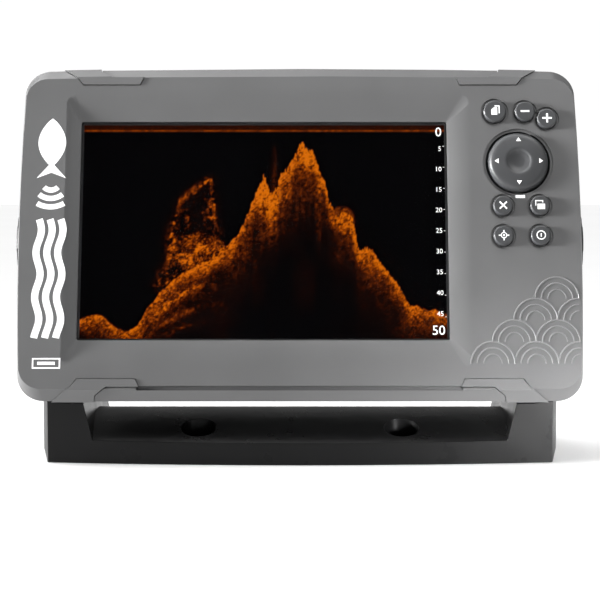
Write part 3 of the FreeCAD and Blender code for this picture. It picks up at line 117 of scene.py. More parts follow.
def to_mesh(piece):
    """Turn an object's modifiers or curve into a plain mesh object of the same name."""
    name = piece.name
    graph = bpy.context.evaluated_depsgraph_get()
    mesh = bpy.data.meshes.new_from_object(piece.evaluated_get(graph))
    bpy.data.objects.remove(piece)
    return link(name, mesh)


def from_bmesh(name, work, matrix=UNIT, smooth=35.0):
    """Mesh object from a bmesh in millimetres, placed by a matrix and smoothed below an angle."""
    bmesh.ops.recalc_face_normals(work, faces=work.faces)
    mesh = bpy.data.meshes.new(name)
    work.to_mesh(mesh)
    work.free()
    mesh.transform(matrix)
    soften(mesh, smooth)
    return link(name, mesh)


def soften(mesh, angle):
    """Smooth shading, with edges sharper than an angle kept crisp."""
    mesh.shade_smooth()
    mesh.set_sharp_from_angle(angle=math.radians(angle))


def lathe(work, profile, x, z, segments):
    """Turn a (radius, depth) profile about a depth axis through (x, z)."""
    rings = []
    for radius, depth in profile:
        if radius < 1e-6:
            rings.append([work.verts.new((x, depth, z))])
            continue
        turn = [2 * math.pi * k / segments for k in range(segments)]
        rings.append([work.verts.new((x + radius * math.cos(t), depth, z + radius * math.sin(t)))
                      for t in turn])
    for inner, outer in zip(rings, rings[1:]):
        for k in range(segments):
            near = [inner[k % len(inner)], inner[(k + 1) % len(inner)]]
            far = [outer[(k + 1) % len(outer)], outer[k % len(outer)]]
            corners = list(dict.fromkeys(near + far))
            if len(corners) > 2:
                work.faces.new(corners)


def rounded(profile, radius, steps=4):
    """A profile whose inner corners are replaced by short curves, at most a share of each side."""
    share = 0.45
    points = [Vector(p) for p in profile]
    out = [points[0]]
    for before, corner, after in zip(points, points[1:], points[2:]):
        a, b = before - corner, after - corner
        reach = min(radius, a.length * share, b.length * share)
        start, end = corner + a.normalized() * reach, corner + b.normalized() * reach
        for k in range(steps + 1):
            t = k / steps
            out.append((1 - t) ** 2 * start + 2 * t * (1 - t) * corner + t ** 2 * end)
    out.append(points[-1])
    return [tuple(p) for p in out]


def moulded_copy(node, name, edge, flat=0.6, weight=100):
    """A CAD node's shape with its flat facets merged and its sharp edges rounded by edge mm."""
    work = bmesh.new()
    work.from_mesh(frame["nodes"][node].data)
    bmesh.ops.remove_doubles(work, verts=work.verts, dist=WELD)
    bmesh.ops.dissolve_limit(work, angle_limit=math.radians(flat), verts=work.verts, edges=work.edges)
    mesh = bpy.data.meshes.new(name)
    work.to_mesh(mesh)
    work.free()
    piece = link(name, mesh)
    if edge:
        bevel = piece.modifiers.new("rounded_edges", "BEVEL")
        bevel.width = edge * MM
        bevel.segments = 3
        bevel.limit_method = "ANGLE"
        bevel.angle_limit = math.radians(BEVEL_ANGLE)
        bevel.use_clamp_overlap = True
        bevel.miter_outer = "MITER_ARC"
        piece = to_mesh(piece)
    soften(piece.data, MOULDED_ANGLE)
    weighted = piece.modifiers.new("even_normals", "WEIGHTED_NORMAL")
    weighted.keep_sharp = True
    weighted.mode = "FACE_AREA_WITH_ANGLE"
    weighted.weight = weight
    return to_mesh(piece)


# Materials

def shader(name):
    """A new material with its node tree, its Principled shader and an Object coordinate socket."""
    made = bpy.data.materials.new(name)
    made.use_nodes = True
    tree = made.node_tree
    surface = tree.nodes["Principled BSDF"]
    place = tree.nodes.new("ShaderNodeTexCoord").outputs["Object"]
    return made, tree, surface, place


def noise(tree, place, scale, detail=4.0, rough=0.55):
    """Noise value over a coordinate."""
    cloud = tree.nodes.new("ShaderNodeTexNoise")
    cloud.inputs["Scale"].default_value = scale
    cloud.inputs["Detail"].default_value = detail
    cloud.inputs["Roughness"].default_value = rough
    tree.links.new(place, cloud.inputs["Vector"])
    return cloud.outputs["Fac"]


def remap(tree, value, low, high, start=0.3, end=0.7):
    """Noise stretched between two values."""
    span = tree.nodes.new("ShaderNodeMapRange")
    span.inputs["From Min"].default_value = start
    span.inputs["From Max"].default_value = end
    span.inputs["To Min"].default_value = low
    span.inputs["To Max"].default_value = high
    tree.links.new(value, span.inputs["Value"])
    return span.outputs["Result"]


def blend_colour(tree, value, first, second):
    """Colour that runs from first to second with a value."""
    ramp = tree.nodes.new("ShaderNodeValToRGB")
    ramp.color_ramp.elements[0].color = (*first, 1)
    ramp.color_ramp.elements[1].color = (*second, 1)
    tree.links.new(value, ramp.inputs["Fac"])
    return ramp.outputs["Color"]


def raise_grain(tree, surface, height, strength, distance):
    """Small relief on a surface, from a height value and a distance in metres."""
    bump = tree.nodes.new("ShaderNodeBump")
    bump.inputs["Strength"].default_value = strength
    bump.inputs["Distance"].default_value = distance
    tree.links.new(height, bump.inputs["Height"])
    tree.links.new(bump.outputs["Normal"], surface.inputs["Normal"])


def grained(name, dark, light, roughness, grain, relief, mottle=22.0, **sockets):
    """Moulded or coated surface: fine grain relief, faint mottling and uneven gloss."""
    made, tree, surface, place = shader(name)
    tone = remap(tree, noise(tree, place, mottle, 5.0), 0.0, 1.0, 0.32, 0.68)
    tree.links.new(blend_colour(tree, tone, dark, light), surface.inputs["Base Color"])
    gloss = remap(tree, noise(tree, place, mottle * 3.1, 6.0), roughness - 0.05, roughness + 0.05)
    tree.links.new(gloss, surface.inputs["Roughness"])
    raise_grain(tree, surface, noise(tree, place, grain, 3.0, 0.65), relief, 0.00004)
    for socket, value in sockets.items():
        surface.inputs[socket.replace("_", " ")].default_value = value
    return made


def brushed(name, dark, light, roughness, scale, stretch):
    """Metal with fine marks drawn along one direction."""
    made, tree, surface, place = shader(name)
    turn = tree.nodes.new("ShaderNodeMapping")
    turn.inputs["Scale"].default_value = stretch
    tree.links.new(place, turn.inputs["Vector"])
    marks = noise(tree, turn.outputs["Vector"], scale, 5.0)
    tone = remap(tree, marks, 0.0, 1.0)
    tree.links.new(blend_colour(tree, tone, dark, light), surface.inputs["Base Color"])
    tree.links.new(remap(tree, marks, roughness - 0.08, roughness + 0.1), surface.inputs["Roughness"])
    raise_grain(tree, surface, marks, 0.12, 0.00003)
    surface.inputs["Metallic"].default_value = 1.0
    return made


def circuit_material():
    """Green solder mask over copper tracks."""
    made, tree, surface, place = shader("circuit_board")
    cells = tree.nodes.new("ShaderNodeTexVoronoi")
    cells.distance = "MANHATTAN"
    cells.feature = "DISTANCE_TO_EDGE"
    cells.inputs["Scale"].default_value = 240.0
    tree.links.new(place, cells.inputs["Vector"])
    tracks = remap(tree, cells.outputs["Distance"], 0.0, 1.0, 0.05, 0.09)
    copper, mask = (0.03, 0.19, 0.08), (0.008, 0.075, 0.035)
    tree.links.new(blend_colour(tree, tracks, copper, mask), surface.inputs["Base Color"])
    tree.links.new(remap(tree, noise(tree, place, 90.0), 0.28, 0.42), surface.inputs["Roughness"])
    raise_grain(tree, surface, tracks, 0.2, 0.00003)
    return made


def lens_material():
    """Clear window with an anti-glare finish: a faint haze in its gloss and almost no mirror."""
    made, tree, surface, place = shader("lens_clear")
    tree.links.new(remap(tree, noise(tree, place, 30.0), 0.02, 0.06), surface.inputs["Roughness"])
    tint = remap(tree, noise(tree, place, 12.0), 0.0, 1.0)
    tree.links.new(blend_colour(tree, tint, (0.97, 0.975, 0.98), (1, 1, 1)), surface.inputs["Base Color"])
    surface.inputs["Transmission Weight"].default_value = 1.0
    surface.inputs["IOR"].default_value = 1.06
    return made


def echo_material(attribute, strength):
    """Lit sonar picture: amber echoes over black, from a mesh attribute and fine speckle."""
    made, tree, surface, place = shader("sonar_echo")
    echo = tree.nodes.new("ShaderNodeAttribute")
    echo.attribute_name = attribute
    ramp = tree.nodes.new("ShaderNodeValToRGB")
    colours = [(0.0, (0.0004, 0.0003, 0.0005)), (0.16, (0.006, 0.0012, 0.0006)), (0.34, (0.05, 0.007, 0.001)),
               (0.55, (0.17, 0.026, 0.001)), (0.78, (0.43, 0.085, 0.0015)), (1.0, (0.66, 0.15, 0.003))]
    elements = ramp.color_ramp.elements
    elements[0].position, elements[0].color = colours[0][0], (*colours[0][1], 1)
    elements[1].position, elements[1].color = colours[-1][0], (*colours[-1][1], 1)
    for position, colour in colours[1:-1]:
        elements.new(position).color = (*colour, 1)
    tree.links.new(echo.outputs["Fac"], ramp.inputs["Fac"])
    surface.inputs["Base Color"].default_value = (0.001, 0.001, 0.001, 1)
    tree.links.new(remap(tree, noise(tree, place, 300.0), 0.45, 0.6), surface.inputs["Roughness"])
    surface.inputs["Specular IOR Level"].default_value = 0.0
    tree.links.new(ramp.outputs["Color"], surface.inputs["Emission Color"])
    surface.inputs["Emission Strength"].default_value = strength
    return made


def shade(colour, factor):
    """Colour scaled by a factor."""
    return tuple(channel * factor for channel in colour)


def printed_material(name, colour, glow):
    """Printed mark with a slightly uneven ink film and a glow: on the screen's numerals the glow is their own
    light, on the white print it is painted brightness.
    """
    return grained(name, shade(colour, 0.94), colour, 0.42, 3000.0, 0.05, 60.0,
                   Emission_Color=(*colour, 1), Emission_Strength=glow)


MATERIALS = {}


def make_materials(look):
    """Every finish on the object, by name."""
    case, bracket = tuple(look.case_colour), tuple(look.bracket_colour)
    keys, white = tuple(look.key_colour), tuple(look.mark_colour)
    MATERIALS.update(
        case=grained("case_plastic", shade(case, 0.94), shade(case, 1.05), 0.38, 2600.0, 0.32),
        clips=grained("clip_plastic", shade(case, 1.0), shade(case, 1.1), 0.38, 2600.0, 0.25),
        rear=grained("rear_plastic", (0.028, 0.029, 0.031), (0.036, 0.037, 0.039), 0.5, 1700.0, 0.5),
        bracket=grained("bracket_plastic", shade(bracket, 0.6), shade(bracket, 0.75), 0.3, 2200.0, 0.12,
                        Specular_Tint=(0.22, 0.22, 0.22, 1)),
        keys=grained("key_rubber", shade(keys, 0.92), shade(keys, 1.08), 0.46, 3200.0, 0.2, 40.0),
        knob=grained("knob_rubber", (0.014, 0.014, 0.015), (0.022, 0.022, 0.023), 0.6, 1500.0, 0.6),
        rubber=grained("seal_rubber", (0.012, 0.012, 0.012), (0.02, 0.02, 0.02), 0.65, 1800.0, 0.4),
        socket=grained("socket_plastic", (0.016, 0.016, 0.018), (0.026, 0.026, 0.028), 0.36, 2400.0, 0.15),
        backlight=grained("diffuser_plastic", (0.7, 0.7, 0.69), (0.78, 0.78, 0.77), 0.4, 900.0, 0.1),
        chip=grained("chip_plastic", (0.02, 0.02, 0.022), (0.035, 0.035, 0.038), 0.5, 2000.0, 0.3, 70.0),
        film=grained("ribbon_film", (0.32, 0.13, 0.02), (0.42, 0.18, 0.03), 0.35, 700.0, 0.1, 140.0),
        # The status light's white glow is a painted highlight on its bar.
        light=grained("light_pipe", (0.8, 0.83, 0.88), (0.9, 0.92, 0.95), 0.25, 1500.0, 0.05,
                      Emission_Color=(1, 1, 1, 1), Emission_Strength=0.9),
        steel=brushed("stainless_steel", (0.42, 0.42, 0.43), (0.6, 0.6, 0.6), 0.3, 900.0, (1, 1, 0.2)),
        brass=brushed("turned_brass", (0.55, 0.38, 0.14), (0.76, 0.55, 0.24), 0.28, 1100.0, (0.15, 1, 1)),
        plate=brushed("rolled_aluminium", (0.5, 0.51, 0.52), (0.68, 0.69, 0.7), 0.36, 700.0, (0.06, 1, 1)),
        circuit=circuit_material(),
        lens=lens_material(),
        echo=echo_material("echo", look.screen_glow),
        # The white print's glow is painted light: the marks on the case, keys and pad glow though nothing lights
        # them.
        white=printed_material("white_print", white, 0.2),
        numeral=printed_material("screen_numeral", (0.86, 0.86, 0.84), 0.85),
        # The ripples' relief is a lighter copy of the case colour: a painted highlight on the ridges.
        relief=grained("relief_plastic", shade(case, 1.3), shade(case, 1.5), 0.34, 2600.0, 0.2),
    )


# Flat marks and raised lines, drawn in the display's own frame

def ribbon(work, points, width, near, far, closed=False):
    """Line of even width along (x, z) points, as a solid between two depths.

    At a sharp turn the mitre is cut off at twice the line's half width.
    """
    sharpest = 0.5
    path = [Vector(p) for p in points]
    count = len(path)
    rows = []
    for k, point in enumerate(path):
        before = path[k - 1] if (k or closed) else point
        after = path[(k + 1) % count] if (k < count - 1 or closed) else point
        first = (point - before).normalized() if point != before else (after - point).normalized()
        second = (after - point).normalized() if after != point else first
        along = (first + second).normalized()
        side = Vector((-along.y, along.x)) * (width / 2 / max(sharpest, along.dot(first)))
        corners = [(point + side, near), (point - side, near), (point - side, far), (point + side, far)]
        rows.append([work.verts.new((c.x, depth, c.y)) for c, depth in corners])
    for k in range(count if closed else count - 1):
        here, there = rows[k], rows[(k + 1) % count]
        for c in range(4):
            work.faces.new((here[c], here[(c + 1) % 4], there[(c + 1) % 4], there[c]))
    if not closed:
        work.faces.new(rows[0])
        work.faces.new(rows[-1])


def patch(work, outline, near, far):
    """Solid over a closed (x, z) outline, between two depths."""
    front = [work.verts.new((x, near, z)) for x, z in outline]
    back = [work.verts.new((x, far, z)) for x, z in outline]
    work.faces.new(front)
    work.faces.new(back)
    for k in range(len(outline)):
        after = (k + 1) % len(outline)
        work.faces.new((front[k], front[after], back[after], back[k]))


def arc(x, z, radius, start, end, steps=24):
    """Points along part of a circle, angles in degrees."""
    turns = [math.radians(start + (end - start) * k / steps) for k in range(steps + 1)]
    return [(x + radius * math.cos(t), z + radius * math.sin(t)) for t in turns]


def circle(x, z, radius, steps=40):
    """Points round a whole circle."""
    return arc(x, z, radius, 0, 360, steps)[:-1]


QUARTER_TURNS = ((1, 0), (0, 1), (-1, 0), (0, -1))


def turned(points, turn, x, z):
    """Points turned by a (cosine, sine) about the origin and then moved to (x, z)."""
    c, s = turn
    return [(x + px * c - pz * s, z + px * s + pz * c) for px, pz in points]


def numeral(name, text, size, x, z, near, far):
    """Number as a solid between two depths, set to the left of x and centred on z."""
    curve = bpy.data.curves.new(name, "FONT")
    curve.body = text
    curve.size = size
    curve.extrude = (far - near) / 2
    curve.resolution_u = 3
    curve.align_x = "RIGHT"
    curve.align_y = "CENTER"
    piece = to_mesh(link(name, curve))
    upright = Matrix(((1, 0, 0, x), (0, 0, -1, (near + far) / 2), (0, 1, 0, z), (0, 0, 0, 1)))
    piece.data.transform(UNIT @ upright)
    return piece


def merged(name, pieces):
    """One object from several mesh objects."""
    work = bmesh.new()
    for piece in pieces:
        work.from_mesh(piece.data)
        bpy.data.objects.remove(piece)
    bmesh.ops.remove_doubles(work, verts=work.verts, dist=WELD / 20)
    bmesh.ops.recalc_face_normals(work, faces=work.faces)
    mesh = bpy.data.meshes.new(name)
    work.to_mesh(mesh)
    work.free()
    return link(name, mesh)


# Geometry Nodes patterns

def pattern_tree(name, inputs):
    """Empty pattern tree with named inputs: returns the tree, its input node and a node maker."""
    tree = bpy.data.node_groups.new(name, "GeometryNodeTree")
    tree.interface.new_socket(name="Geometry", in_out="OUTPUT", socket_type="NodeSocketGeometry")
    for label, kind, default in inputs:
        socket = tree.interface.new_socket(name=label, in_out="INPUT", socket_type="NodeSocket" + kind)
        if default is not None:
            socket.default_value = default
    entry = tree.nodes.new("NodeGroupInput")

    def add(kind, **values):
        node = tree.nodes.new(kind)
        for label, value in values.items():
            socket = node.inputs[label.replace("_", " ")]
            if isinstance(value, bpy.types.NodeSocket):
                tree.links.new(value, socket)
            else:
                socket.default_value = value
        return node

    return tree, entry.outputs, add


def close_tree(tree, add, points, instance, material):
    """Put an instance on every point, make it real, give it its material and send it out."""
    spread = add("GeometryNodeInstanceOnPoints", Points=points, Instance=instance)
    real = add("GeometryNodeRealizeInstances", Geometry=spread.outputs["Instances"])
    dressed = add("GeometryNodeSetMaterial", Geometry=real.outputs["Geometry"], Material=material)
    leave = tree.nodes.new("NodeGroupOutput")
    tree.links.new(dressed.outputs["Geometry"], leave.inputs["Geometry"])
    return tree


def ring_tree():
    """Small ribs spread evenly round a circle."""
    tree, entry, add = pattern_tree("rib_ring", [
        ("Count", "Int", 24), ("Radius", "Float", 10.0), ("Rib Radius", "Float", 0.5),
        ("Rib Length", "Float", 2.0), ("Material", "Material", None)])
    ring = add("GeometryNodeMeshCircle", Vertices=entry["Count"], Radius=entry["Radius"])
    rib = add("GeometryNodeMeshCylinder", Vertices=10, Radius=entry["Rib Radius"], Depth=entry["Rib Length"])
    return close_tree(tree, add, ring.outputs["Mesh"], rib.outputs["Mesh"], entry["Material"])


def row_tree():
    """Arched ridges set side by side in a row."""
    tree, entry, add = pattern_tree("arch_row", [
        ("Count", "Int", 3), ("Pitch", "Vector", (10.0, 0.0, 0.0)), ("Radius", "Float", 6.0),
        ("Start", "Float", 0.3), ("Sweep", "Float", 2.5), ("Ridge", "Float", 0.3),
        ("Material", "Material", None)])
    row = add("GeometryNodeMeshLine", Count=entry["Count"], Offset=entry["Pitch"])
    bow = add("GeometryNodeCurveArc", Radius=entry["Radius"], Start_Angle=entry["Start"],
              Sweep_Angle=entry["Sweep"], Resolution=40)
    ridge = add("GeometryNodeCurvePrimitiveCircle", Radius=entry["Ridge"], Resolution=10)
    tube = add("GeometryNodeCurveToMesh", Curve=bow.outputs["Curve"], Profile_Curve=ridge.outputs["Curve"],
               Fill_Caps=True)
    return close_tree(tree, add, row.outputs["Mesh"], tube.outputs["Mesh"], entry["Material"])


def tick_tree():
    """Small bars set one above another."""
    tree, entry, add = pattern_tree("tick_column", [
        ("Count", "Int", 10), ("Pitch", "Vector", (0.0, 9.0, 0.0)), ("Size", "Vector", (1.0, 0.2, 0.1)),
        ("Material", "Material", None)])
    row = add("GeometryNodeMeshLine", Count=entry["Count"], Offset=entry["Pitch"])
    bar = add("GeometryNodeMeshCube", Size=entry["Size"])
    return close_tree(tree, add, row.outputs["Mesh"], bar.outputs["Mesh"], entry["Material"])


def patterned(name, tree, matrix, **values):
    """Run a pattern with the given inputs and keep the result as a plain mesh placed by a matrix."""
    piece = link(name, bpy.data.meshes.new(name))
    modifier = piece.modifiers.new("pattern", "NODES")
    modifier.node_group = tree
    for socket in tree.interface.items_tree:
        if socket.in_out == "INPUT" and socket.name.replace(" ", "_") in values:
            modifier[socket.identifier] = values[socket.name.replace(" ", "_")]
    piece = to_mesh(piece)
    piece.data.transform(matrix)
    return piece


FACING = Matrix(((1, 0, 0, 0), (0, 0, -1, 0), (0, 1, 0, 0), (0, 0, 0, 1)))


def on_face(x, z, depth):
    """Matrix from a flat drawing to the face of the display, centred at (x, z) at a depth."""
    return UNIT @ Matrix.Translation((x, depth, z)) @ FACING


# Settings

class LookSettings(bpy.types.PropertyGroup):
    """Colours and glow."""
    case_colour: bpy.props.FloatVectorProperty(
        name="Case", description="Colour of the front moulding", subtype="COLOR",
        default=(0.098, 0.098, 0.099))
    bracket_colour: bpy.props.FloatVectorProperty(
        name="Bracket", description="Colour of the mounting bracket", subtype="COLOR",
        default=(0.008, 0.008, 0.0082))
    key_colour: bpy.props.FloatVectorProperty(
        name="Keys", description="Colour of the keys and the cursor pad", subtype="COLOR",
        default=(0.034, 0.035, 0.037))
    mark_colour: bpy.props.FloatVectorProperty(
        name="Marks", description="Colour of the printed marks", subtype="COLOR", default=(0.86, 0.86, 0.86))
    screen_glow: bpy.props.FloatProperty(
        name="Screen glow", description="Brightness of the lit picture", default=1.0, min=0.0)


class ScreenSettings(bpy.types.PropertyGroup):
    """Lit picture, in millimetres."""
    panel_margin: bpy.props.FloatProperty(
        name="Panel margin", description="Unlit border of the panel", default=6.3)
    columns: bpy.props.IntProperty(name="Columns", description="Cells across the picture", default=330)
    rows: bpy.props.IntProperty(name="Rows", description="Cells up the picture", default=200)
    front: bpy.props.FloatProperty(name="Front", description="Depth of the lit surface", default=5.0)
    seed: bpy.props.IntProperty(name="Seed", description="Seed of the echo speckle", default=11)


class MarkSettings(bpy.types.PropertyGroup):
    """Printed and moulded marks, in millimetres."""
    stroke: bpy.props.FloatProperty(name="Stroke", description="Line width of the key marks", default=0.62)
    ink: bpy.props.FloatProperty(
        name="Ink", description="Height of a printed mark over its surface", default=0.04)
    root: bpy.props.FloatProperty(name="Root", description="Depth of a key mark inside its key", default=0.2)
    ridge: bpy.props.FloatProperty(name="Ridge", description="Radius of the embossed ripples", default=0.32)
    scale_radius: bpy.props.FloatProperty(
        name="Scale radius", description="Radius of one ripple arch", default=9.0)
    scale_drop: bpy.props.FloatProperty(
        name="Scale drop", description="From one row of arches to the next", default=9.0)
    scale_inset: bpy.props.FloatProperty(
        name="Scale inset", description="From the side of the case to the last arches", default=2.6)


class StageSettings(bpy.types.PropertyGroup):
    """Camera and light."""
    distance: bpy.props.FloatProperty(
        name="Distance", description="From the camera to the display's face, mm", default=653.0)
    rise: bpy.props.FloatProperty(
        name="Rise", description="Height of the face's middle over the line of sight, mm", default=28.7)
    pitch: bpy.props.FloatProperty(
        name="Pitch", description="How far the camera looks down, degrees", default=5.0)
    lens: bpy.props.FloatProperty(
        name="Lens", description="Focal length of the camera, mm", default=94.2)
    surround: bpy.props.FloatProperty(
        name="Surround", description="Brightness of the white room", default=0.2)
    floor_glow: bpy.props.FloatProperty(
        name="Floor glow", description="Light given off by the floor", default=0.08)
    key_strength: bpy.props.FloatProperty(
        name="Key", description="Strength of the broad key light", default=3.0)
    fill_power: bpy.props.FloatProperty(
        name="Fill", description="Power of the left fill light, W", default=3.0)
    top_power: bpy.props.FloatProperty(name="Top", description="Power of the overhead light, W", default=4.5)
    right_power: bpy.props.FloatProperty(
        name="Right", description="Power of the low right panel, W", default=0.1)


# Pieces

class FISHFINDER_OT_bezel(bpy.types.Operator):
    """Front moulding and its four corner clips"""
    bl_idname = "fishfinder.bezel"
    bl_label = "Front bezel"

    def execute(self, context):
        piece = moulded_copy("front_bezel", "front_moulding", 0.35)
        finish(piece, "display_unit", MATERIALS["case"], ["front_bezel"])
        for level in ("top", "bottom"):
            for side in ("left", "right"):
                node = "corner_clip_%s_%s" % (level, side)
                clip = moulded_copy(node, node + "_moulding", 0.25)
                finish(clip, "display_unit", MATERIALS["clips"], [node])
        return {"FINISHED"}


class FISHFINDER_OT_bracket(bpy.types.Operator):
    """Mounting bracket"""
    bl_idname = "fishfinder.bracket"
    bl_label = "Bracket"

    def execute(self, context):
        piece = moulded_copy("mounting_bracket", "bracket_moulding", 0.5, flat=0.05, weight=50)
        finish(piece, "bracket", MATERIALS["bracket"], ["mounting_bracket"])
        return {"FINISHED"}


class FISHFINDER_OT_keys(bpy.types.Operator):
    """Seven keys, the cursor pad and the marks on them"""
    bl_idname = "fishfinder.keys"
    bl_label = "Keys and cursor pad"

    def execute(self, context):
        marks = context.scene.fishfinder_marks
        drawings = {
            "page_key": self.pages, "zoom_out_key": self.minus, "zoom_in_key": self.plus,
            "exit_key": self.cross, "menu_key": self.windows, "waypoint_key": self.waypoint,
            "power_key": self.power}
        for node, draw in drawings.items():
            low, high = unit_box(node)
            key = moulded_copy(node, node + "_cap", edge=0.0)
            finish(key, BODY_OF[node], MATERIALS["keys"], [node])
            middle = (low + high) / 2
            work = bmesh.new()
            draw(work, middle.x, middle.z, marks.stroke, low.y - marks.ink, low.y + marks.root)
            mark = from_bmesh(node + "_mark", work)
            finish(mark, BODY_OF[node], MATERIALS["white"])
        self.pad()
        return {"FINISHED"}

    def pages(self, work, x, z, stroke, near, far):
        """Two sheets, the front one filled and with a folded corner."""
        patch(work, [(x - 1.6, z - 1.7), (x + 0.9, z - 1.7), (x + 0.9, z + 1.5), (x - 0.5, z + 1.5),
                     (x - 1.6, z + 0.5)], near, far)
        ribbon(work, [(x - 0.2, z + 2.1), (x + 1.7, z + 2.1), (x + 1.7, z - 1.1)], stroke * 0.7, near, far)

    def minus(self, work, x, z, stroke, near, far):
        """Short bar."""
        ribbon(work, [(x - 1.8, z), (x + 1.8, z)], stroke * 1.25, near, far)

    def plus(self, work, x, z, stroke, near, far):
        """Upright cross."""
        arm, half = 2.0, stroke * 0.62
        quarter = [(half, half), (half, arm), (-half, arm)]
        outline = [point for turn in QUARTER_TURNS for point in turned(quarter, turn, x, z)]
        patch(work, outline, near, far)

    def cross(self, work, x, z, stroke, near, far):
        """Diagonal cross."""
        for sign in (-1, 1):
            ribbon(work, [(x - 1.5, z - 1.5 * sign), (x + 1.5, z + 1.5 * sign)], stroke, near, far)

    def windows(self, work, x, z, stroke, near, far):
        """Two overlapping windows, the front one filled."""
        behind = [(x - 1.9, z - 0.3), (x - 1.9, z + 1.8), (x + 1.0, z + 1.8), (x + 1.0, z + 1.0)]
        front = [(x - 1.2, z - 1.8), (x + 1.9, z - 1.8), (x + 1.9, z + 0.5), (x - 1.2, z + 0.5)]
        ribbon(work, behind, stroke * 0.65, near, far)
        patch(work, front, near, far)

    def waypoint(self, work, x, z, stroke, near, far):
        """Ring with a dot in its middle and four short arms."""
        for dx, dz in ((1, 0), (-1, 0), (0, 1), (0, -1)):
            arm = [(x + dx * reach, z + dz * reach) for reach in (0.9, 2.2)]
            ribbon(work, arm, stroke * 0.75, near, far)
        ribbon(work, circle(x, z, 1.15), stroke * 0.5, near, far, True)
        patch(work, circle(x, z, 0.42, 16), near, far)

    def power(self, work, x, z, stroke, near, far):
        """Ring with a short bar in it."""
        ribbon(work, circle(x, z, 1.75), stroke * 0.65, near, far, True)
        ribbon(work, [(x, z - 0.75), (x, z + 0.75)], stroke * 0.65, near, far)

    def pad(self):
        """Dished cursor pad with its four arrow heads. Its profile is (radius, depth), in millimetres."""
        low, high = unit_box("cursor_pad")
        middle = (low + high) / 2
        rim = high.x - middle.x
        top, back = low.y, high.y
        flange = 0.6
        dish = [(0, top + 1.25), (2.6, top + 1.1), (4.6, top + 0.5), (5.3, top + 0.06), (6.2, top)]
        slope = [(rim - 3.2, top + 0.35), (rim - 1.9, top + 0.75), (rim - 1.1, top + 2.2)]
        foot = [(rim - 0.5, back - flange), (rim, back - flange), (rim, back), (0, back)]
        work = bmesh.new()
        lathe(work, rounded(dish + slope + foot, 0.6), middle.x, middle.z, 96)
        pad = from_bmesh("cursor_pad_moulding", work, smooth=30.0)
        finish(pad, BODY_OF["cursor_pad"], MATERIALS["keys"], ["cursor_pad"])
        work = bmesh.new()
        reach = rim - 4.4
        head = [(reach + 0.95, 0), (reach - 0.65, 1.05), (reach - 0.65, -1.05)]
        for turn in QUARTER_TURNS:
            patch(work, turned(head, turn, middle.x, middle.z), top + 0.12, top + 0.6)
        arrows = from_bmesh("cursor_pad_arrows", work)
        finish(arrows, BODY_OF["cursor_pad"], MATERIALS["white"])


def value_noise(rng, shape, cells):
    """Smooth random field with the given number of cells, stretched to a shape."""
    rows, columns = shape
    table = rng.random((cells[0] + 2, cells[1] + 2))
    v = np.linspace(0, cells[0], rows)[:, None]
    u = np.linspace(0, cells[1], columns)[None, :]
    i, j = v.astype(int), u.astype(int)
    a, b = v - i, u - j
    a, b = a * a * (3 - 2 * a), b * b * (3 - 2 * b)
    top = table[i, j] * (1 - b) + table[i, j + 1] * b
    low = table[i + 1, j] * (1 - b) + table[i + 1, j + 1] * b
    return top * (1 - a) + low * a


def bump_curve(value, centre, width):
    """Soft bell over a value."""
    return np.exp(-((value - centre) / width) ** 2)


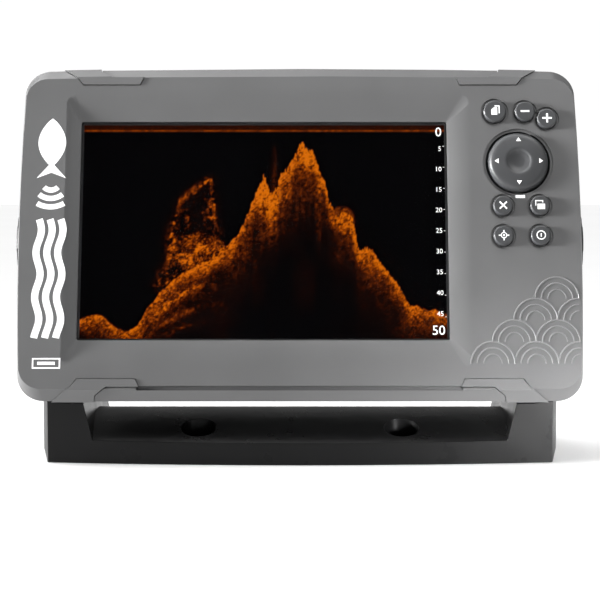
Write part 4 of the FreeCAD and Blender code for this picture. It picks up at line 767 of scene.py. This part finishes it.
def echo_field(columns, rows, seed):
    """Brightness of the sonar picture: a ragged seabed ridge with echoes over and under it.

    The picture's width (f) and height (g) both run from 0 to 1, from its lower left corner.
    """
    rng = np.random.default_rng(seed)
    f, g = np.meshgrid(np.linspace(0, 1, columns), np.linspace(0, 1, rows))
    shape = f.shape
    # Random fields, from broad patches to single cells
    coarse = value_noise(rng, shape, (8, 13))
    middle = value_noise(rng, shape, (26, 44))
    fine = value_noise(rng, shape, (80, 130))
    grit = rng.random(shape)
    streak = value_noise(rng, shape, (7, 110))
    shadow = value_noise(rng, shape, (4, 46))
    # Outline of the seabed
    ridge = [
        (0, .10), (.05, .115), (.085, .08), (.12, .035), (.155, .06), (.19, .16), (.225, .235), (.265, .29),
        (.31, .335), (.36, .375), (.40, .43), (.425, .46), (.455, .60), (.475, .69), (.50, .755), (.525, .69),
        (.555, .77), (.58, .87), (.605, .915), (.63, .87), (.65, .83), (.66, .745), (.68, .66), (.705, .575),
        (.725, .60), (.745, .57), (.76, .43), (.80, .405), (.835, .335), (.87, .25), (.90, .165), (.94, .145),
        (1.0, .12)]
    rough = np.interp(f[0], [0, .3, .45, .7, .85, 1], [.25, .25, 1, 1.2, .6, .3])
    ragged = (value_noise(rng, (2, columns), (1, 60))[0] - 0.5) * 0.05 * rough
    ragged += (rng.random(columns) - 0.5) * 0.018 * rough
    line = np.interp(f[0], *zip(*ridge)) + ragged
    # Bright crest, the haze under it and the lit sides of the summit
    under = line[None, :] - g
    inside = np.clip(under / 0.01, 0, 1)
    depth = np.clip(under, 0, 1)
    crest = inside * np.exp(-depth / (0.03 + 0.05 * coarse))
    haze = inside * np.exp(-depth / (0.10 + 0.16 * coarse)) * (0.25 + 0.95 * middle)
    summit = inside * bump_curve(f, 0.605, 0.05) * np.clip(1.15 - depth / 0.42, 0, 1)
    shoulder = inside * bump_curve(f, 0.495, 0.06) * np.clip(1.1 - depth / 0.36, 0, 1)
    flank = inside * bump_curve(f, 0.79, 0.11) * np.clip(1.1 - depth / 0.30, 0, 1)
    echo = 0.80 * crest + 0.42 * haze + (0.42 * summit + 0.46 * shoulder + 0.34 * flank) * (0.35 + streak)
    # Faint pillars and the swooping layers of the left slope
    pillars = inside * np.clip(shadow - 0.5, 0, 1) * 1.5 * (f > 0.36) * (f < 0.72) * np.clip(g / 0.2, 0.25, 1)
    echo += 0.42 * pillars * (0.4 + fine)
    swoop_f = np.array([.15, .19, .23, .27, .31, .35])
    for drop, glow, bend in ((0.10, 0.5, 0.9), (0.17, 0.4, 0.7), (0.25, 0.28, 0.55)):
        top = np.interp(swoop_f, f[0], line)
        swoop = np.interp(f[0], swoop_f, (top - drop) * bend + 0.02)
        layer = bump_curve(g - swoop[None, :], 0, 0.02) * bump_curve(f, 0.26, 0.08)
        echo += glow * inside * layer * (0.3 + fine)
    dark = np.clip((depth - 0.30) / 0.14, 0, 1) * bump_curve(f, 0.56, 0.2)
    echo *= 1 - 0.6 * dark
    # Mound on the left slope, knob on the right shoulder, fin over the mound and thin spire
    mound = np.clip(1 - ((f - 0.315) / 0.09) ** 2 - ((g - 0.40) / 0.09) ** 2, 0, 1) ** 0.6
    knob = np.clip(1.2 - ((f - 0.715) / 0.036) ** 2 - ((g - 0.545) / 0.07) ** 2, 0, 1) ** 0.5
    echo = np.maximum(echo, knob * (0.55 + 0.4 * fine))
    echo += (under < 0.012) * mound * (0.30 + 0.75 * middle) * (0.45 + 0.75 * fine)
    wing_left = np.interp(g, [.22, .36, .52, .62, .69, .74], [.20, .232, .246, .265, .30, .345])
    wing_right = np.interp(g, [.36, .44, .55, .74], [.40, .385, .372, .358])
    wing = (f > wing_left) & (f < wing_right) & (g < 0.75) & (under < 0)
    rim = np.maximum(bump_curve(f, wing_left, 0.016), 0.7 * bump_curve(f, wing_right, 0.012))
    rim = rim * (g > 0.24) * (g < 0.755) * (under < 0) * (fine > 0.32)
    rim += bump_curve(g, np.interp(f, [.26, .30, .355], [.62, .70, .745]), 0.02) * (f > .26) * (f < .36)
    echo += 0.36 * rim * (0.3 + middle)
    echo += wing * (0.9 * np.clip(streak * fine - 0.2, 0, 1) + 0.30 * (grit > 0.72) * np.clip(1.1 - g, 0, 1))
    spire_width = 0.004 + 0.05 * np.clip(0.9 - g, 0, 1)
    spire = bump_curve(f, 0.528, spire_width) * (g < 0.9) * (g > 0.55) * (under < 0.01)
    echo += 0.36 * spire * (0.35 + streak)
    # Grain, spray over the right slope and the band at the surface
    grain = value_noise(rng, shape, (rows // 2, columns // 2))
    echo *= 0.10 + 0.25 * fine + 0.55 * grit + 0.70 * grain
    echo += 0.16 * inside * (grit > 0.93) * np.exp(-depth / 0.25)
    spray = (under < 0) & (under > -0.10) & (f > 0.72) & (grit > 0.965)
    echo += 0.22 * spray
    echo += 0.24 * (g > 0.966) * (0.6 + 0.6 * grit) + 0.5 * bump_curve(g, 0.974, 0.005) * (0.4 + 0.6 * streak)
    return np.clip(echo, 0, 1)


class FISHFINDER_OT_picture(bpy.types.Operator):
    """Lit sonar picture with its depth numerals"""
    bl_idname = "fishfinder.picture"
    bl_label = "Sonar picture"

    def execute(self, context):
        settings = context.scene.fishfinder_screen
        low, high = unit_box("lcd_panel")
        x0, x1 = low.x + settings.panel_margin, high.x - settings.panel_margin
        z0, z1 = low.z + settings.panel_margin, high.z - settings.panel_margin
        self.lit_surface(settings, x0, x1, z0, z1, low.y)
        self.numerals(settings, x1, z0, z1)
        return {"FINISHED"}

    def lit_surface(self, settings, x0, x1, z0, z1, back):
        """Thin slab whose front carries the echo attribute."""
        columns, rows = settings.columns, settings.rows
        xs, zs = np.meshgrid(np.linspace(x0, x1, columns), np.linspace(z0, z1, rows))
        front = np.c_[xs.ravel(), np.full(xs.size, settings.front), zs.ravel()]
        index = np.arange(columns * rows).reshape(rows, columns)
        quads = np.stack([index[:-1, :-1], index[:-1, 1:], index[1:, 1:], index[1:, :-1]], -1).reshape(-1, 4)
        loop = np.concatenate([index[0, :-1], index[:-1, -1], index[-1, :0:-1], index[:0:-1, 0]])
        rear = front[loop].copy()
        rear[:, 1] = back
        rear_index = np.arange(len(loop)) + len(front)
        after, rear_after = np.roll(loop, -1), np.roll(rear_index, -1)
        sides = np.stack([loop, rear_index, rear_after, after], -1)
        faces = quads.tolist() + sides.tolist() + [rear_index[::-1].tolist()]
        mesh = bpy.data.meshes.new("sonar_picture")
        mesh.from_pydata(np.r_[front, rear].tolist(), [], faces)
        echo = echo_field(columns, rows, settings.seed).ravel()
        values = np.r_[echo, np.zeros(len(loop))].astype(np.float32)
        mesh.attributes.new("echo", "FLOAT", "POINT").data.foreach_set("value", values)
        mesh.transform(UNIT)
        piece = link("sonar_picture", mesh)
        finish(piece, "display_unit", MATERIALS["echo"])

    def numerals(self, settings, x1, z0, z1):
        """Depth numbers down the right edge: large at the ends, small between."""
        near, far = settings.front - 0.12, settings.front - 0.04
        span = z1 - z0
        large, small, steps, top_inset = 5.6, 2.9, 10, 1.5
        pieces = [numeral("depth_zero", "0", large, x1 - 1.0, z1 - 3.1, near, far),
                  numeral("depth_fifty", "50", large, x1 - 0.7, z0 + 3.3, near, far)]
        for step in range(1, steps):
            z = z1 - top_inset - (span - 2 * top_inset) * step / steps
            pieces.append(numeral("depth_%d" % step, str(5 * step), small, x1 - 1.2, z, near, far))
        finish(merged("depth_numerals", pieces), "display_unit", MATERIALS["numeral"])
        place = on_face(x1 - 0.4, z0 + span * 0.1, settings.front - 0.06)
        ticks = patterned("depth_ticks", tick_tree(), place, Count=steps - 1, Pitch=(0.0, span / steps, 0.0),
                          Size=(0.6, 0.18, 0.06), Material=MATERIALS["numeral"])
        finish(ticks, "display_unit", MATERIALS["numeral"])


class FISHFINDER_OT_marks(bpy.types.Operator):
    """Printed graphic and embossed ripples"""
    bl_idname = "fishfinder.marks"
    bl_label = "Face marks"

    def execute(self, context):
        marks = context.scene.fishfinder_marks
        self.graphic(marks)
        self.ripples(marks)
        return {"FINISHED"}

    def graphic(self, marks):
        """White fish over sonar arcs and a column of waves, down the left side of the face."""
        x = unit_box("front_bezel")[0].x + 13.7
        near, far = -marks.ink, 0.3
        work = bmesh.new()
        nose, length, girth, steps = 48.5, 21.0, 5.8, 16
        body = [(x + girth * math.sin(math.pi * k / steps) ** 0.8, nose - length * k / steps)
                for k in range(steps + 1)]
        body += [(2 * x - px, pz) for px, pz in reversed(body[1:-1])]
        patch(work, body, near, far)
        patch(work, [(x, 29.5), (x + 6.2, 22.6), (x, 25.0), (x - 6.2, 22.6)], near, far)
        for reach, half in ((4.0, 46), (7.6, 40), (11.2, 30)):
            ribbon(work, arc(x, 21.5, reach, 270 - half, 270 + half), 2.2, near, far)
        for offset in (-4.5, 0.0, 4.5):
            wave = [(x + offset + 1.0 * math.sin(0.42 * k), 5.0 - 1.25 * k) for k in range(41)]
            ribbon(work, wave, 2.9, near, far)
        half, top, foot = 5.5, -53.6, -57.4
        badge = [(x - half, top), (x + half, top), (x + half, foot), (x - half, foot)]
        ribbon(work, badge, 0.6, near, far, True)
        ribbon(work, [(x - 3.6, -55.5), (x + 3.6, -55.5)], 1.3, near, far)
        finish(from_bmesh("face_graphic", work), "display_unit", MATERIALS["white"])

    def ripples(self, marks):
        """Fish scale pattern of arched ridges in the lower right of the face. The ridges are a lighter copy of the
        case colour, a painted highlight along them.
        """
        tree = row_tree()
        radius = marks.scale_radius
        edge = unit_box("front_bezel")[1].x - marks.scale_inset
        half, whole = (90, 90), (0, 180)
        top = -28.5
        rows = [(1, 0, 1, whole), (2, 1, 1, whole), (0, 1, 1, half), (3, 2, 2, whole), (4, 3, 2, whole),
                (0, 3, 1, half)]
        ridges = []
        for index, (inward, row, count, (start, sweep)) in enumerate(rows):
            place = on_face(edge - inward * radius, top - row * marks.scale_drop, 0.0)
            for share in (1.0, 0.72, 0.42):
                name = "scale_%d_%d" % (index, round(100 * share))
                ridges.append(patterned(
                    name, tree, place, Count=count, Pitch=(2 * radius, 0.0, 0.0), Radius=radius * share,
                    Start=math.radians(start), Sweep=math.radians(sweep),
                    Ridge=marks.ridge * (0.55 + 0.45 * share), Material=MATERIALS["relief"]))
        finish(merged("face_ripples", ridges), "display_unit", MATERIALS["relief"])


class FISHFINDER_OT_rear(bpy.types.Operator):
    """Rear housing with what is fitted to it"""
    bl_idname = "fishfinder.rear"
    bl_label = "Rear housing"

    def execute(self, context):
        for node, edge, material in (
                ("rear_housing", 0.0, "rear"), ("sonar_socket", 0.25, "socket"),
                ("power_socket", 0.25, "socket"), ("vent_plug", 0.0, "socket"),
                ("card_door", 0.2, "rubber"), ("housing_screws", 0.12, "steel")):
            piece = moulded_copy(node, node + "_finished", edge)
            finish(piece, BODY_OF[node], MATERIALS[material], [node])
        return {"FINISHED"}


class FISHFINDER_OT_knobs(bpy.types.Operator):
    """Clamp knobs with a knurled rim"""
    bl_idname = "fishfinder.knobs"
    bl_label = "Clamp knobs"

    def execute(self, context):
        tree = ring_tree()
        rib_radius, rib_length, rib_inset, bite = 0.42, 1.7, 1.35, 0.15
        for side, name in ((-1, "left"), (1, "right")):
            node = "tilt_knob_" + name
            knob = moulded_copy(node, node + "_moulding", 0.5)
            finish(knob, BODY_OF[node], MATERIALS["knob"], [node])
            points = node_points(node)
            low, high = points.min(0) / MM, points.max(0) / MM
            inner = low[0] if side > 0 else high[0]
            radius = (high[1] - low[1]) / 2
            place = Vector(((inner + side * rib_inset) * MM, PIVOT.y, PIVOT.z))
            matrix = Matrix.Translation(place) @ Matrix.Rotation(math.pi / 2, 4, "Y") @ Matrix.Scale(MM, 4)
            knurl = patterned(node + "_knurl", tree, matrix, Count=56, Radius=radius - bite,
                              Rib_Radius=rib_radius, Rib_Length=rib_length, Material=MATERIALS["knob"])
            finish(knurl, BODY_OF[node], MATERIALS["knob"])
        return {"FINISHED"}


class FISHFINDER_OT_inside(bpy.types.Operator):
    """Finishes for the lens, the screen's layers and everything inside the case"""
    bl_idname = "fishfinder.inside"
    bl_label = "Inner parts"

    FINISHES = {
        "lens": ["display_lens"], "chip": ["lcd_panel", "board_components", "beeper"],
        "rubber": ["lens_gasket", "keypad_mat", "housing_seal", "socket_seals"],
        "backlight": ["lcd_backlight", "gps_antenna"], "circuit": ["keypad_board", "main_board"],
        "light": ["status_light"], "film": ["lcd_ribbon", "keypad_ribbon"],
        "plate": ["chassis_plate", "processor_shield", "card_reader"],
        "brass": ["board_standoffs", "threaded_insert_left", "threaded_insert_right", "sonar_pins",
                  "power_pins"],
        "socket": ["socket_nuts", "friction_washer_left", "friction_washer_right", "pad_pivot"],
        "steel": ["dome_switches", "chassis_screws", "keypad_screws", "card_door_pin", "knob_stud_left",
                  "knob_stud_right"],
    }

    def execute(self, context):
        for material, nodes in self.FINISHES.items():
            for node in nodes:
                mesh = frame["nodes"][node].data
                mesh.materials.clear()
                mesh.materials.append(MATERIALS[material])
        return {"FINISHED"}


class FISHFINDER_OT_stage(bpy.types.Operator):
    """Floor, soft lights and camera"""
    bl_idname = "fishfinder.stage"
    bl_label = "Stage"

    def execute(self, context):
        settings = context.scene.fishfinder_stage
        self.floor(settings)
        self.world(context.scene, settings)
        self.lights(settings)
        self.camera(context.scene, settings)
        context.scene.view_settings.view_transform = "Standard"
        return {"FINISHED"}

    def floor(self, settings):
        """Pale seamless floor that glows a little, so that only shadows tint it."""
        work = bmesh.new()
        bmesh.ops.create_grid(work, x_segments=4, y_segments=4, size=4.0)
        floor = from_bmesh("studio_floor", work, Matrix.Translation((0, 0, -0.0002)))
        made = grained("floor_paper", (0.81, 0.81, 0.81), (0.83, 0.83, 0.83), 0.8, 300.0, 0.02, 3.0,
                       Emission_Color=(1, 1, 1, 1), Emission_Strength=settings.floor_glow,
                       Specular_IOR_Level=0.1)
        floor.data.materials.append(made)

    def world(self, scene, settings):
        """White background for the camera over a dimmer surround for the light."""
        world = bpy.data.worlds.new("studio_surround")
        world.use_nodes = True
        scene.world = world
        tree = world.node_tree
        surround = tree.nodes["Background"]
        surround.inputs["Color"].default_value = (1, 1, 1, 1)
        surround.inputs["Strength"].default_value = settings.surround
        white = tree.nodes.new("ShaderNodeBackground")
        white.inputs["Color"].default_value = (1, 1, 1, 1)
        white.inputs["Strength"].default_value = 1.02
        mix = tree.nodes.new("ShaderNodeMixShader")
        path = tree.nodes.new("ShaderNodeLightPath")
        tree.links.new(path.outputs["Is Camera Ray"], mix.inputs["Fac"])
        tree.links.new(surround.outputs[0], mix.inputs[1])
        tree.links.new(white.outputs[0], mix.inputs[2])
        tree.links.new(mix.outputs[0], tree.nodes["World Output"].inputs["Surface"])

    def lights(self, settings):
        """Soft key from above, a grazing fill from the left, a top softbox and a low right panel.

        Each panel has its power, place, target, size and spread, in watts, metres and degrees.
        """
        panels = {
            "fill_softbox": (settings.fill_power, (-1.5, -0.26, 0.3), (0.05, -0.03, 0.155), (0.5, 0.4), 16),
            "top_softbox": (settings.top_power, (0.35, -0.35, 0.9), (0.05, 0, 0.1), (0.4, 0.3), 180),
            "right_panel": (settings.right_power, (0.30, -0.34, 0.03), (0.09, 0, 0), (0.1, 0.06), 24)}
        for name, (power, position, target, size, spread) in panels.items():
            data = bpy.data.lights.new(name, "AREA")
            data.shape = "RECTANGLE"
            data.size, data.size_y = size
            data.energy = power
            data.spread = math.radians(spread)
            self.aim(name, data, position, target)
        broad = bpy.data.lights.new("broad_key", "SUN")
        broad.energy = settings.key_strength
        broad.angle = math.radians(50)
        self.aim("broad_key", broad, (-0.45, 0.12, 1.1), (0, 0, 0))

    def aim(self, name, data, position, target):
        """Place a lamp and point it at a target."""
        lamp = bpy.data.objects.new(name, data)
        lamp.location = position
        lamp.rotation_euler = (Vector(target) - Vector(position)).to_track_quat("-Z", "Y").to_euler()
        bpy.context.scene.collection.objects.link(lamp)

    def camera(self, scene, settings):
        """Camera a little below the face's own axis, looking slightly down."""
        pitch = math.radians(settings.pitch)
        forward = Vector((0, math.cos(pitch), -math.sin(pitch)))
        up = Vector((0, math.sin(pitch), math.cos(pitch)))
        data = bpy.data.cameras.new("studio_camera")
        data.lens = settings.lens
        data.sensor_width = 36.0
        camera = bpy.data.objects.new("studio_camera", data)
        camera.location = FACE - forward * settings.distance * MM - up * settings.rise * MM
        camera.rotation_euler = forward.to_track_quat("-Z", "Y").to_euler()
        scene.collection.objects.link(camera)
        scene.camera = camera


class FISHFINDER_PT_panel(bpy.types.Panel):
    """Sidebar list of the pieces and their settings"""
    bl_idname = "FISHFINDER_PT_panel"
    bl_label = "Fish Finder"
    bl_space_type = "VIEW_3D"
    bl_region_type = "UI"
    bl_category = "Fish Finder"

    def draw(self, context):
        for name in SETTINGS:
            settings = getattr(context.scene, name)
            box = self.layout.box()
            for field in settings.bl_rna.properties:
                if field.identifier not in ("rna_type", "name"):
                    box.prop(settings, field.identifier)
        for operator in OPERATORS:
            self.layout.operator(operator.bl_idname)


OPERATORS = (FISHFINDER_OT_bezel, FISHFINDER_OT_bracket, FISHFINDER_OT_keys, FISHFINDER_OT_picture,
             FISHFINDER_OT_marks, FISHFINDER_OT_rear, FISHFINDER_OT_knobs, FISHFINDER_OT_inside,
             FISHFINDER_OT_stage)
SETTINGS = {"fishfinder_look": LookSettings, "fishfinder_screen": ScreenSettings,
            "fishfinder_marks": MarkSettings, "fishfinder_stage": StageSettings}


def register():
    """Add the settings, the operators and the panel."""
    for group in SETTINGS.values():
        bpy.utils.register_class(group)
    for name, group in SETTINGS.items():
        setattr(bpy.types.Scene, name, bpy.props.PointerProperty(type=group))
    for kind in (*OPERATORS, FISHFINDER_PT_panel):
        bpy.utils.register_class(kind)


def unregister():
    """Take them away again."""
    for kind in reversed((*OPERATORS, FISHFINDER_PT_panel)):
        bpy.utils.unregister_class(kind)
    for name in SETTINGS:
        delattr(bpy.types.Scene, name)
    for group in SETTINGS.values():
        bpy.utils.unregister_class(group)


def main():
    """Build every piece and the stage."""
    register()
    make_materials(bpy.context.scene.fishfinder_look)
    for operator in OPERATORS:
        group, name = operator.bl_idname.split(".")
        getattr(getattr(bpy.ops, group), name)()


if __name__ == "__main__":
    main()
